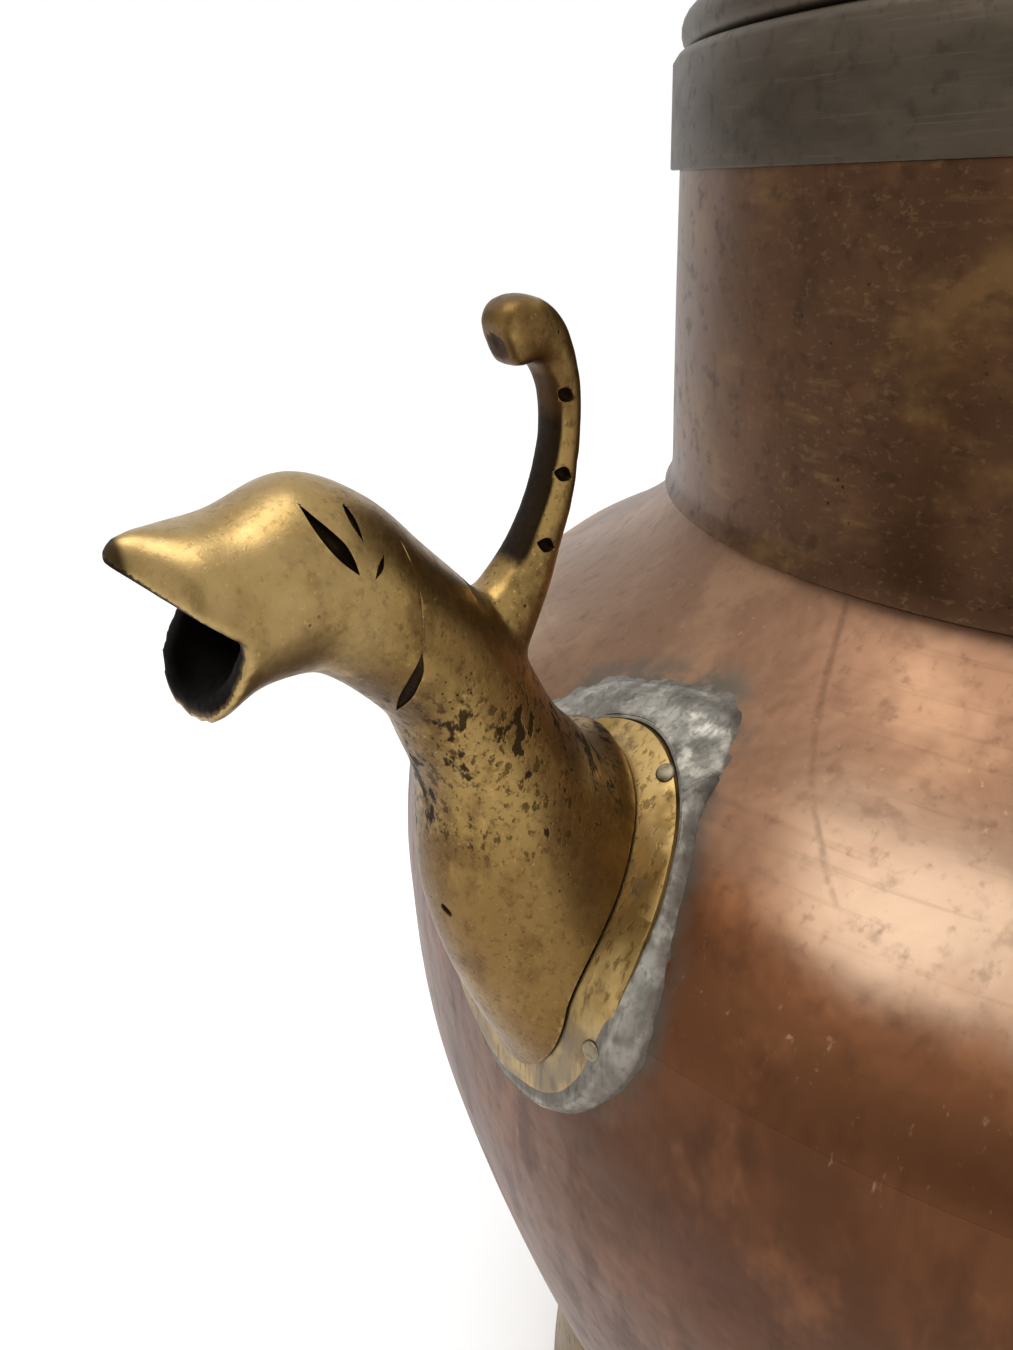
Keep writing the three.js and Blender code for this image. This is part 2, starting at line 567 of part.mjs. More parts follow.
const domeTop = beadZ + LID_RISE;
const finialHole = FINIAL_SHANK_R + FIT;
const domeEdge = onBead(118, FIT);
const domeCurve = new THREE.CubicBezierCurve(
  V2(...domeEdge), V2(domeEdge[0] - 12, beadZ + LID_RISE * 0.52),
  V2(domeEdge[0] * 0.54, domeTop), V2(finialHole, domeTop));
const domeLine = domeCurve.getPoints(6).map((p) => [p.x, p.y]);
let dome = turned([
  ...domeLine, ...offset(domeLine, LID_SHEET).slice(1).reverse(), onBead(142, FIT),
]);

const finialSeat = domeTop + FIT;
const finialFoot = finialSeat + FINIAL_COLLAR_T + FIT;
const roveTop = domeTop - LID_SHEET - 2 * FIT;
const finialCollar = turned([
  [finialHole, finialSeat], [FINIAL_COLLAR_R, finialSeat], [FINIAL_COLLAR_R, finialSeat + 1],
  [FINIAL_COLLAR_R - 2, finialSeat + FINIAL_COLLAR_T], [finialHole, finialSeat + FINIAL_COLLAR_T],
], KNOB_STEPS);
const rove = turned([
  [finialHole, roveTop - ROVE_T], [ROVE_R, roveTop - ROVE_T], [ROVE_R, roveTop], [finialHole, roveTop],
], KNOB_STEPS);
const knobMid = finialFoot + FINIAL_H * 0.5;
const finial = turned([
  [0, roveTop - ROVE_T - FIT - 1.4], [FINIAL_SHANK_R * 1.5, roveTop - ROVE_T - FIT - 1],
  [FINIAL_SHANK_R * 1.5, roveTop - ROVE_T - FIT], [FINIAL_SHANK_R, roveTop - ROVE_T - FIT],
  [FINIAL_SHANK_R, finialFoot], [FINIAL_R * 0.84, finialFoot],
  [FINIAL_R * 0.36, finialFoot + 4.4], [FINIAL_R * 0.42, knobMid - FINIAL_R * 0.72],
  [FINIAL_R * 0.84, knobMid - FINIAL_R * 0.42], [FINIAL_R, knobMid],
  [FINIAL_R * 0.86, knobMid + FINIAL_R * 0.45], [FINIAL_R * 0.24, knobMid + FINIAL_R],
  [FINIAL_R * 0.32, finialFoot + FINIAL_H - 3], [0, finialFoot + FINIAL_H],
], KNOB_STEPS);

// Hinge: a leaf riveted to the dome, a bracket riveted to the band, and a pin along Y

const pinX = bandOut + HINGE_OUT;
const pinZ = lipTop + HINGE_UP;
const circle = (r, from, to, steps) => {
  const points = [];
  for (let k = 0; k <= steps; k += 1) {
    const turn = rad(from + (to - from) * k / steps);
    points.push([pinX + r * Math.cos(turn), pinZ + r * Math.sin(turn)]);
  }
  return points;
};
const pinRod = (outline) => rod(outline, V3(pinX, 0, pinZ), V3(0, 1, 0), 12);
const pinHole = pinRod([
  [0, -CUT_REACH], [HINGE_PIN_R + FIT, -CUT_REACH], [HINGE_PIN_R + FIT, CUT_REACH], [0, CUT_REACH],
]);

// Height of the dome's outside at a distance from the axis
function domeZ(r) {
  for (let i = 0; i + 1 < domeLine.length; i += 1) {
    const [[r0, z0], [r1, z1]] = [domeLine[i], domeLine[i + 1]];
    if (r <= r0 && r >= r1) return z0 + (z1 - z0) * (r0 - r) / (r0 - r1);
  }
  return domeLine[0][1];
}

const leafBend = domeEdge[0] - 3.5;
const leafFlat = Math.max(beadZ + BEAD_R + FIT, domeZ(leafBend)) + FIT;
const leafUnder = [[leafBend, leafFlat]];
domeLine.filter(([r]) => r < leafBend - 0.1 && r > LEAF_END_R + 0.1)
  .forEach(([r, z]) => leafUnder.push([r, z + FIT * 1.6]));
leafUnder.push([LEAF_END_R, domeZ(LEAF_END_R) + FIT * 1.6]);
const leafOver = leafUnder.map(([r, z]) => [r + 0.3, z + LEAF_T]).reverse();
const leafPlate = sideways([...leafUnder, ...leafOver], LEAF_W);
const armStart = leafBend - 1;
const armZ = Math.max(leafFlat, domeZ(armStart) + FIT);
const leafArm = sideways([
  [armStart, armZ], [pinX, armZ], [pinX, armZ + LEAF_T], [armStart, armZ + LEAF_T],
], KNUCKLE_W);
const knuckle = pinRod([
  [0, -KNUCKLE_W / 2], [KNUCKLE_R, -KNUCKLE_W / 2], [KNUCKLE_R, KNUCKLE_W / 2], [0, KNUCKLE_W / 2],
]);
let leaf = leafPlate.add(leafArm).add(knuckle).subtract(pinHole);

const bracketTopZ = lipTop - 1.8;
const bracketFace = turned([
  [bandOut + FIT, BAND_Z + 0.6], [bandOut + FIT, bracketTopZ],
  [bandOut + FIT + BRACKET_T, bracketTopZ], [bandOut + FIT + BRACKET_T, BAND_Z + 0.6],
]).intersect(sideways([
  [NECK_R / 2, BAND_Z], [NECK_R + 20, BAND_Z], [NECK_R + 20, lipTop], [NECK_R / 2, lipTop],
], BRACKET_W));
const earY = KNUCKLE_W / 2 + FIT + EAR_T / 2;
const earIn = bandOut + FIT + BRACKET_T * 0.45;
const earShape = [
  [earIn, BAND_Z + 1.5], [earIn + BRACKET_T * 1.1, BAND_Z + 1.5], ...circle(EAR_R, -20, 175, 8),
  [earIn, bracketTopZ - 0.5],
];
let bracket = [-1, 1].reduce(
  (body, side) => body.add(sideways(earShape, EAR_T, side * earY)), bracketFace).subtract(pinHole);
const pinEnd = earY + EAR_T / 2 + FIT;
const pin = pinRod([
  [0, -pinEnd - HINGE_PIN_HEAD_T], [HINGE_PIN_HEAD_R, -pinEnd - HINGE_PIN_HEAD_T * 0.5],
  [HINGE_PIN_HEAD_R, -pinEnd], [HINGE_PIN_R, -pinEnd], [HINGE_PIN_R, pinEnd],
  [HINGE_PIN_HEAD_R, pinEnd], [HINGE_PIN_HEAD_R, pinEnd + HINGE_PIN_HEAD_T * 0.5],
  [0, pinEnd + HINGE_PIN_HEAD_T],
]);

const leafRivetR = (leafBend + LEAF_END_R) / 2 - 2;
const leafPitch = Math.atan2(
  (leafBend - LEAF_END_R), domeZ(LEAF_END_R) - domeZ(leafBend));
[-1, 1].forEach((side, i) => {
  const leafSeat = seatOn(1, side * LEAF_W * 0.28, domeZ(leafRivetR), leafRivetR, leafPitch);
  const leafHole = rivetHole(leafSeat.seat, leafSeat.outward, RIVET);
  leaf = leaf.subtract(leafHole);
  dome = dome.subtract(leafHole);
  add(`lid_leaf_rivet_${i + 1}`,
    rivet(leafSeat.seat, leafSeat.outward, LEAF_T + FIT * 2, -LID_SHEET, RIVET), BRASS);
  const bandSeat = seatOn(1, side * (BRACKET_W / 2 - 5), BAND_Z + RIVET.head + 0.6, bandOut, 0);
  const bandHole = rivetHole(bandSeat.seat, bandSeat.outward, RIVET);
  bracket = bracket.subtract(bandHole);
  band = band.subtract(bandHole);
  neck = neck.subtract(bandHole);
  add(`bracket_rivet_${i + 1}`,
    rivet(bandSeat.seat, bandSeat.outward, FIT + BRACKET_T, NECK_R - SHEET - bandOut, RIVET), BRASS);
});

shoulder = shoulder.subtract(wallHole);
bowl = bowl.subtract(wallHole);

add('bowl', bowl, COPPER);
add('shoulder', shoulder, COPPER);
add('neck', neck, COPPER_DARK);
add('rim_band', band, BRASS_DARK);
add('foot_ring', footRing, BRASS);
add('spout_casting', casting, BRASS);
add('spout_flange', flange, BRASS);
add('spout_solder', solder, SOLDER, jug, 0.8, 0.6);
add('handle', handle, BRASS);
add('lid_rim', lidRim, BRASS_DARK);
add('lid_collar', lidCollar, COPPER);
add('lid_dome', dome, COPPER_DARK);
add('lid_finial_collar', finialCollar, BRASS);
add('lid_finial', finial, BRASS);
add('lid_finial_rove', rove, BRASS);
add('lid_hinge_leaf', leaf, BRASS);
add('neck_hinge_bracket', bracket, BRASS);
add('hinge_pin', pin, BRASS);

export default jug;
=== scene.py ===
from math import atan2, copysign, cos, degrees, exp, hypot, pi, radians, sin, sqrt, tau

import bmesh
import bpy
from mathutils import Matrix, Vector, bvhtree, kdtree, noise


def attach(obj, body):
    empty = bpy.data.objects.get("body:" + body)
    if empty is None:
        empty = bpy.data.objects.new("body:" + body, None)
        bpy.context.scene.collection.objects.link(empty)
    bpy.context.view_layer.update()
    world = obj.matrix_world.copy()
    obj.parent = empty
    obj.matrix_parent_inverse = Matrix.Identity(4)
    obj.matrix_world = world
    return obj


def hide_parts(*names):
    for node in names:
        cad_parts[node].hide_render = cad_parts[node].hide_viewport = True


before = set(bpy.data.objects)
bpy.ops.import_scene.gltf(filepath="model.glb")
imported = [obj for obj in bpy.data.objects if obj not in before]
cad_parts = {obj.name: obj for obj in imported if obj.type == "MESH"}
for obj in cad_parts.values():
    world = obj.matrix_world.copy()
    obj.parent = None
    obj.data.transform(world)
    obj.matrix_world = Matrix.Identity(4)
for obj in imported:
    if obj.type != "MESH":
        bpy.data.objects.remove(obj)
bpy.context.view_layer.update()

# A big copper water jug with a cast brass bird-headed spout, a hinged lid and a cast strap handle.
# Sizes are millimetres of the real jug and become metres where a mesh is made. The jug's axis is Z,
# it stands on Z = 0, the spout points towards -X and the handle lies on +X.
MM = 0.001
X, Y, Z = Vector((1, 0, 0)), Vector((0, 1, 0)), Vector((0, 0, 1))
FIT = 0.3  # gap between pieces that touch
SHEET = 1.6  # copper sheet
BEATEN = 0.21  # unevenness left by the hammer
ROUND, FINE_ROUND = 192, 288  # flats round the jug, and round what trims the spout's pieces

NECK_R, NECK_FOOT_Z, NECK_TOP_Z = 89.7, 260, 326
COLLAR_R = NECK_R - SHEET - FIT
FLARE_Z = 255  # where the neck's flare ends over the shoulder
HOLLOW_R, HOLLOW_Z = 117, 235.5
RIDGE_R, RIDGE_Z = 128, 227.5 # soft ridge of the shoulder, over its rounding
LAP_R, LAP_Z = 141.3, 211.5  # where the shoulder ends over the bowl
BELLY_R, BELLY_Z = 143.4, 186.5
BASE_R, BASE_Z, BOTTOM_Z = 80, 36, 32
BAND_Z, BAND_T, LIP_T = 310.5, 1.2, 1.8
FOOT_R, FOOT_TOP_Z, FOOT_T = 116.5, 58, 2.4

BEAD_R = 4.3  # rolled edge of the lid
LID_SHEET, LID_RISE = 1.5, 28
FINIAL_H, FINIAL_R, SHANK_R = 32, 9.5, 3
FINIAL_COLLAR_R, FINIAL_COLLAR_T = 13, 2.4
ROVE_R, ROVE_T = 8, 1.5  # washer that the finial's shank is spread over

PIN_R, PIN_HOLE_R, KNUCKLE_R, KNUCKLE_W = 2, 2.3, 4.2, 12
LEAF_W, LEAF_T, LEAF_TIP_R = 22, 2, 62
BRACKET_W, BRACKET_T, EAR_R, EAR_T, EAR_Y = 40, 2, 5, 4, 8.3

ROOT = Vector((-130.5, 4, 214))  # middle of the spout's root
ROOT_RISE, ROOT_TILT = 30, 28  # its direction over the horizontal and its askew turn, degrees
ROOT_H, ROOT_W = 25.6, 16.2  # half sizes
HOLE_H, HOLE_W = 17, 9.5  # half sizes of the hole in the wall
FLANGE_H, FLANGE_NEAR_W, FLANGE_FAR_W = 27, 19.7, 24  # half sizes
FLANGE_TILT, FLANGE_SIDE, FLANGE_UP = 20, 3, 1.2
FLANGE_T = 2
SPOUT_WALL = 2.7
BEAK_REACH = 187.3  # from the jug's axis to the beak's tip
GAPE_HALF = 14  # half width of the body that cuts the mouth open
GAPE_LEAN = 0.19  # the lower lip is skewed: it runs further out on the far side
SOLDER_LAP, SOLDER_LEAST_LAP = 3.2, 0.5  # how far the solder lies over the flange, below and above

HANDLE_T, HANDLE_W = 10, 17
HANDLE_TOP_Z, HANDLE_FOOT_Z = 286, 180
PLATE_T, PLATE_W, PLATE_H = 2.6, 30, 42

# Rivets: radius of the shank, radius of the head and how high the head rises
RIVET = (1.9, 3.2, 1.3)
SPOUT_RIVET = (1, 1.45, 0.45)
SPOUT_RIVET_TURNS = (47, 160, 208, 318)  # degrees round the flange
SPOUT_RIVET_IN = 1.75  # from the flange's edge


# Lines and meshes

def eased(value, low, high):
    """0 below low and 1 over high, with a smooth run between."""
    t = min(max((value - low) / (high - low), 0), 1)
    return t * t * (3 - 2 * t)


def bezier(points, steps):
    """A curve drawn by control points."""
    line = []
    for i in range(steps + 1):
        level = [Vector(p) for p in points]
        while len(level) > 1:
            level = [a.lerp(b, i / steps) for a, b in zip(level, level[1:])]
        line.append(level[0])
    return line


def through(points, steps):
    """A smooth line through points, with so many steps to a span."""
    line, last = [], len(points) - 1
    for i in range(last):
        a, b, c, d = (Vector(points[min(max(j, 0), last)]) for j in range(i - 1, i + 3))
        for k in range(steps):
            t = k / steps
            line.append(b + 0.5 * t * (
                c - a + t * (2 * a - 5 * b + 4 * c - d + t * (3 * b - 3 * c + d - a))))
    line.append(Vector(points[last]))
    return line


def offset(line, distance):
    """A line from top to bottom, moved outwards by a distance."""
    moved = []
    for i, (r, z) in enumerate(line):
        along = Vector(line[min(i + 1, len(line) - 1)]) - Vector(line[max(i - 1, 0)])
        along.normalize()
        moved.append(Vector((r - along.y * distance, z + along.x * distance)))
    return moved


def put_in_scene(name, data):
    made = bpy.data.objects.new(name, data)
    bpy.context.scene.collection.objects.link(made)
    return made


def piece(name, bm):
    """An object from a bmesh."""
    mesh = bpy.data.meshes.new(name)
    bm.to_mesh(mesh)
    bm.free()
    return put_in_scene(name, mesh)


def turned(line, steps=ROUND, closed=True):
    """A line of (radius, height) turned about the jug's axis."""
    bm = bmesh.new()
    corners = [bm.verts.new((max(r, 0) * MM, 0, z * MM)) for r, z in line]
    pairs = list(zip(corners, corners[1:]))
    if closed:
        pairs.append((corners[-1], corners[0]))
    edges = [bm.edges.new(pair) for pair in pairs]
    bmesh.ops.spin(
        bm, geom=corners + edges, cent=(0, 0, 0), axis=(0, 0, 1), dvec=(0, 0, 0),
        angle=tau, steps=steps, use_merge=True, use_duplicate=False)
    bmesh.ops.remove_doubles(bm, verts=bm.verts, dist=1e-6)
    bmesh.ops.dissolve_degenerate(bm, dist=1e-7, edges=bm.edges)
    bmesh.ops.recalc_face_normals(bm, faces=bm.faces)
    return bm


def swept(stations, sides):
    """A closed body through oval sections: x, y, z, heading, half thickness, half width, roll, power.
    The heading is the way that the sections travel in the XZ plane, and the power squares an oval."""
    bm = bmesh.new()
    turn = bm.verts.layers.float.new("turn")
    ring = bmesh.ops.create_circle(bm, cap_ends=False, segments=sides, radius=1)["verts"]
    for v in ring:
        v[turn] = atan2(v.co.y, v.co.x)
    edges = list({e for v in ring for e in v.link_edges})
    for i, (x, y, z, heading, thick, wide, roll, power) in enumerate(stations):
        if i:
            grown = bmesh.ops.extrude_edge_only(bm, edges=edges)["geom"]
            ring = [g for g in grown if isinstance(g, bmesh.types.BMVert)]
            edges = [g for g in grown if isinstance(g, bmesh.types.BMEdge)]
        up = Vector((-sin(radians(heading)), 0, cos(radians(heading))))
        spin = Matrix.Rotation(radians(roll), 2)
        for v in ring:
            c, s = cos(v[turn]), sin(v[turn])
            flat = spin @ Vector((
                wide * copysign(abs(c) ** (2 / power), c),
                thick * copysign(abs(s) ** (2 / power), s)))
            v.co = MM * (Vector((x, y + flat.x, z)) + up * flat.y)
    bmesh.ops.holes_fill(bm, edges=bm.edges, sides=0)
    bmesh.ops.recalc_face_normals(bm, faces=bm.faces)
    return bm


def prism(outline, centre, across, upward, near, far):
    """An outline in its own plane, pushed along the plane's normal."""
    bm = bmesh.new()
    normal = across.cross(upward)
    corners = [bm.verts.new(MM * (centre + across * u + upward * v + normal * near))
               for u, v in outline]
    face = bm.faces.new(corners)
    grown = bmesh.ops.extrude_face_region(bm, geom=[face])["geom"]
    bmesh.ops.translate(
        bm, verts=[g for g in grown if isinstance(g, bmesh.types.BMVert)],
        vec=normal * (far - near) * MM)
    bmesh.ops.recalc_face_normals(bm, faces=bm.faces)
    return bm


def rod(line, centre, direction, steps=32):
    """A line of (radius, along) turned about a line through a point."""
    bm = turned(line, steps)
    turn = Z.rotation_difference(direction.normalized()).to_matrix()
    bmesh.ops.rotate(bm, verts=bm.verts, cent=(0, 0, 0), matrix=turn)
    bmesh.ops.translate(bm, verts=bm.verts, vec=centre * MM)
    return bm


def settle(made):
    """Applies the modifiers."""
    graph = bpy.context.evaluated_depsgraph_get()
    mesh = bpy.data.meshes.new_from_object(made.evaluated_get(graph))
    mesh.name = made.name
    made.modifiers.clear()
    made.data = mesh
    return made


def combine(made, others, operation):
    """Joins, cuts or meets a piece with other bodies, and uses those up."""
    for other in others:
        tool = piece("tool", other) if isinstance(other, bmesh.types.BMesh) else other
        step = made.modifiers.new("step", "BOOLEAN")
        step.operation = operation
        step.object = tool
        step.solver = "MANIFOLD"
        settle(made)
        bpy.data.objects.remove(tool)
    return made


def oval(half_w, half_h, steps, far_w=None):
    """An oval, whose far side may have its own half width."""
    turns = [k / steps * tau for k in range(steps)]
    far_w = far_w or half_w
    return [((half_w if cos(t) > 0 else far_w) * cos(t), half_h * sin(t))
            for t in turns]


def rounded(made, width):
    """Worn edges."""
    bevel = made.modifiers.new("worn_edges", "BEVEL")
    bevel.width = width * MM
    bevel.segments = 2
    bevel.limit_method = "ANGLE"
    bevel.angle_limit = radians(40)
    settle(made)


# The vessel's outside, from the shoulder's collar down to the middle of the bottom

rise = BELLY_Z - BASE_Z
hollow = bezier([(COLLAR_R, NECK_FOOT_Z), (COLLAR_R, NECK_FOOT_Z - 4),
                 (COLLAR_R + 2.2, HOLLOW_Z + 12.5), (HOLLOW_R, HOLLOW_Z)], 24)
crest = bezier([(RIDGE_R, RIDGE_Z), (134.4, 222), (139.6, 217.6), (LAP_R, LAP_Z)], 20)
flank = [Vector((HOLLOW_R, HOLLOW_Z)).lerp(crest[0], k / 8) for k in range(1, 8)]
side = through([
    (LAP_R, LAP_Z), (BELLY_R - 0.4, BELLY_Z + 13), (BELLY_R, BELLY_Z),
    *((BELLY_R * share, BELLY_Z - rise * drop)
      for share, drop in ((0.988, 0.165), (0.935, 0.38), (0.861, 0.6), (0.767, 0.827))),
    (BASE_R, BASE_Z)], 8)
shoulder_line = [Vector((COLLAR_R, NECK_FOOT_Z + 6))] + hollow + flank + crest
bottom = [Vector((BASE_R * 0.93, BOTTOM_Z + 1.2)), Vector((BASE_R * 0.82, BOTTOM_Z)),
          Vector((BASE_R * 0.4, BOTTOM_Z)), Vector((0, BOTTOM_Z))]
wall = shoulder_line + side[1:] + bottom


def wall_radius(z):
    """Radius of the vessel's outside at a height."""
    for (r0, z0), (r1, z1) in zip(wall, wall[1:]):
        if z1 <= z <= z0 and z0 > z1:
            return r0 + (r1 - r0) * (z0 - z) / (z0 - z1)
    return 0


def wall_pitch(z):
    """Angle of the wall's outward direction over the horizontal."""
    return atan2(wall_radius(z - 2) - wall_radius(z + 2), 4)


def core(distance, steps=ROUND):
    """The whole jug as a plug, grown by a distance."""
    line = [p for p in offset(wall, distance) if p.y < FLARE_Z]
    neck_r = NECK_R + distance
    return turned([(0, NECK_TOP_Z + 20), (neck_r, NECK_TOP_Z + 20), (neck_r, NECK_FOOT_Z),
                   *line[:-1], (0, BOTTOM_Z - distance)], steps)


def beaten(bm):
    """The soft unevenness of copper raised by hand. It fades out round what is fitted to the wall."""
    seats = [ROOT * MM, Vector((NECK_R, 0, HANDLE_TOP_Z)) * MM,
             Vector((BELLY_R, 0, HANDLE_FOOT_Z)) * MM]
    for v in bm.verts:
        away = min((v.co - seat).length for seat in seats)
        ease = min(max((away - 0.03) / 0.03, 0), 1)
        out = Vector((v.co.x, v.co.y, 0))
        if out.length < 1e-5:
            continue
        lump = noise.noise(v.co * 24) * 0.7 + noise.noise(v.co * 70 + Vector((5, 1, 3))) * 0.3
        v.co += out.normalized() * (lump - 0.75) * BEATEN * ease * MM


def sheet_piece(name, line):
    """A piece of beaten sheet turned from the line of its outside."""
    bm = turned(line, closed=False)
    beaten(bm)
    made = piece(name, bm)
    wall_step = made.modifiers.new("sheet", "SOLIDIFY")
    wall_step.thickness = SHEET * MM
    wall_step.offset = -1
    return settle(made)


# Spout root: an oval on a slanting plane, turned askew

root_out = Vector((-cos(radians(ROOT_RISE)), 0, sin(radians(ROOT_RISE))))
root_up = Vector((sin(radians(ROOT_RISE)), 0, cos(radians(ROOT_RISE))))
root_across = root_up.cross(root_out)


def askew(outline, tilt=ROOT_TILT, side=0, up=0):
    """An outline in the root's plane, turned and moved."""
    turn = Matrix.Rotation(radians(tilt), 2)
    return [turn @ Vector(p) + Vector((side, up)) for p in outline]


def on_flange(outline):
    """An outline in the root's plane, placed as the flange is."""
    return askew(outline, FLANGE_TILT, FLANGE_SIDE, FLANGE_UP)


def root_prism(outline):
    """An outline in the root's plane, pushed through the wall."""
    return prism(outline, ROOT, root_across, root_up, -40, 50)


wall_hole = askew(oval(HOLE_W, HOLE_H, 40))

# Copper body

under_shoulder = offset(shoulder_line, -SHEET - FIT)[-13:-1]
bowl_top = Vector((LAP_R - 0.03, LAP_Z - 0.06))  # just clear of the shoulder's edge
bowl = sheet_piece("bowl_beaten", under_shoulder + [bowl_top] + side[1:] + bottom)
combine(bowl, [root_prism(wall_hole)], "DIFFERENCE")
shoulder = sheet_piece("shoulder_beaten", shoulder_line)
combine(shoulder, [root_prism(wall_hole)], "DIFFERENCE")
flare = [p for p in offset(wall, FIT + SHEET) if FLARE_Z < p.y < NECK_FOOT_Z - 1]
neck_side = [Vector((NECK_R, NECK_TOP_Z - k * (NECK_TOP_Z - NECK_FOOT_Z) / 20)) for k in range(21)]
neck = sheet_piece("neck_rolled", neck_side + flare)

# Rim band and foot ring

band_in, band_out = NECK_R + FIT, NECK_R + FIT + BAND_T
lip_bottom, lip_in = NECK_TOP_Z + FIT, NECK_R - SHEET - 0.2
lip_top = lip_bottom + LIP_T
lip_crest = (lip_in + band_out) / 2 - 0.6
band = piece("rim_band_folded", turned([
    (band_in, BAND_Z), (band_out, BAND_Z), (band_out, (BAND_Z + lip_top) / 2),
    (band_out, lip_top - 1.5), (band_out - 1, lip_top), (lip_crest, lip_top),
    (lip_in, lip_top - 0.8), (lip_in, lip_bottom), (band_in, lip_bottom)]))
rounded(band, 0.35)

foot_top_r = wall_radius(FOOT_TOP_Z) + FIT
foot_outside = through([
    (foot_top_r + FOOT_T * 0.7, FOOT_TOP_Z + 1), (FOOT_R - 4.5, FOOT_TOP_Z - 8),
    (FOOT_R - 3.2, FOOT_TOP_Z * 0.65), (FOOT_R - 1.6, FOOT_TOP_Z * 0.28), (FOOT_R - 0.1, 5)], 6)
foot = piece("foot_ring_turned", turned(
    foot_outside + [(FOOT_R, 3), (FOOT_R, 0), (FOOT_R - FOOT_T - 0.8, 0), (FOOT_R - FOOT_T - 0.8, 3)]
    + offset(foot_outside, -FOOT_T)[1:-1][::-1] + [(foot_top_r, FOOT_TOP_Z)]))
rounded(foot, 0.4)

# Spout casting: the bird's neck and head, then the horn

spout_stations = [
    (-116.5, 4, 206, 150, ROOT_H, ROOT_W, ROOT_TILT, 2.1),
    (-131, 4, 214, 150, ROOT_H, ROOT_W, ROOT_TILT, 2.1),
    (-134.5, 4, 219.5, 147, 24.3, 16, ROOT_TILT, 2.1),
    (-138.2, 3.8, 225, 138, 20.2, 14.9, ROOT_TILT * 0.9, 2),
    (-141.8, 2.9, 233.5, 120, 15, 12.8, ROOT_TILT * 0.6, 2),
    (-143.5, 1.8, 242, 107, 11.6, 10.8, ROOT_TILT * 0.2, 2),
    (-145.6, 1.1, 246.6, 104, 10, 9.8, 0, 2),
    (-147.4, 0.7, 250.2, 110, 9.4, 9.2, 0, 2),
    (-149.6, 0.4, 254.6, 124, 9.2, 9.1, 0, 2),
    (-153.1, 0.2, 260.6, 143, 9.1, 9.2, 0, 2),
    (-158.3, 0, 266.3, 152, 9.3, 9.6, 0, 2),
    (-162.9, 0, 270.8, 161, 10.1, 10, 0, 2),
    (-168.3, 0, 273.5, 177, 10.7, 10.2, 0, 2),
    (-175.5, 0, 272.2, 181, 9.4, 9.8, 0, 2.2),
    (-180.5, 0, 270.6, 180, 10.4, 9.2, 0, 2.5),
    (-184.4, 0, 271.1, 180, 10.2, 4.8, 0, 2),
    (-BEAK_REACH, 0, 271.1, 180, 9.5, 1.3, 0, 2),
]
horn_stations = [
    (-145, 0, 261, 55, 4.6, 4.6, 0, 3),
    (-140.2, 0, 267.6, 56, 3.2, 3.6, 0, 4),
    (-137.9, 0, 272, 60, 2.6, 3.1, 0, 5),
    (-135.9, 0, 276.7, 68, 2.4, 2.8, 0, 5),
    (-134.5, 0, 283.2, 80, 2.1, 2.6, 0, 5),
    (-134.5, 0, 288.7, 94, 2.1, 2.8, 0, 5),
    (-136.1, 0, 293.3, 122, 2.5, 3.2, 0, 5),
    (-138.5, 0, 295, 155, 3.7, 3.6, 0, 4),
    (-140.8, 0, 295, 190, 4.1, 3.7, 0, 4),
    (-142.6, 0, 294.2, 200, 2.9, 3, 0, 3),
]
bore_stations = [(*s[:4], s[4] - SPOUT_WALL, s[5] - SPOUT_WALL, *s[6:]) for s in spout_stations[:-2]]
bore_stations.append((-183.8, 0, 268.8, 180, 5.4, 3.2, 0, 2))


def smoothed(stations, steps=5):
    """Sections set closer along a body."""
    return [tuple(v) for v in through(stations, steps)]


def carved(line, deep, side=1):
    """A cutting body along a line of x, y, z and half width on the casting, pointed at its ends."""
    stations = []
    for i, (x, y, z, half) in enumerate(line):
        before, after = line[max(i - 1, 0)], line[min(i + 1, len(line) - 1)]
        heading = degrees(atan2(after[2] - before[2], after[0] - before[0]))
        end = 0.25 if i in (0, len(line) - 1) else 1
        stations.append((x, side * y, z, heading, half * end, deep * end, 0, 2))
    return swept(smoothed(stations, 4), 16)


def cast_skin(made, voxel, times):
    """Makes one skin of a body put together from others, and wears it smooth."""
    skin = made.modifiers.new("worn_casting", "REMESH")
    skin.mode = "VOXEL"
    skin.voxel_size = voxel * MM
    settle(made)
    bm = bmesh.new()
    bm.from_mesh(made.data)
    for _ in range(times):
        bmesh.ops.smooth_vert(bm, verts=bm.verts, factor=0.5, use_axis_x=True, use_axis_y=True,
                              use_axis_z=True)
    bm.to_mesh(made.data)
    bm.free()


lower_lip = [(-177.6, 270.3), (-180.3, 265.3), (-181.4, 262.5), (-181.5, 260.5), (-180.9, 256.7)]
gape = prism([(-200, 287), (-188, 279.2)] + lower_lip + [(-200, 256.7)],
             Vector((0, 0, 0)), X, Z, -GAPE_HALF, GAPE_HALF)
across_gape = [e for e in gape.edges if abs(e.verts[0].co.y - e.verts[1].co.y) > MM]
bmesh.ops.subdivide_edges(gape, edges=across_gape, cuts=GAPE_HALF, use_grid_fill=True)
for v in gape.verts:
    v.co.x -= GAPE_LEAN * v.co.y * eased(-v.co.z / MM, -272, -267)
casting = piece("spout_cast", swept(smoothed(spout_stations), 64))
combine(casting, [swept(smoothed(horn_stations), 40)], "UNION")
cast_skin(casting, 0.8, 4)
combine(casting, [swept(smoothed(bore_stations), 48), gape], "DIFFERENCE")
cast_skin(casting, 0.5, 4)
combine(casting, [core(FIT + FLANGE_T + 0.4, FINE_ROUND)], "DIFFERENCE")
uncut = bmesh.new()
uncut.from_mesh(casting.data)
before_cuts = bvhtree.BVHTree.FromBMesh(uncut)
uncut.free()

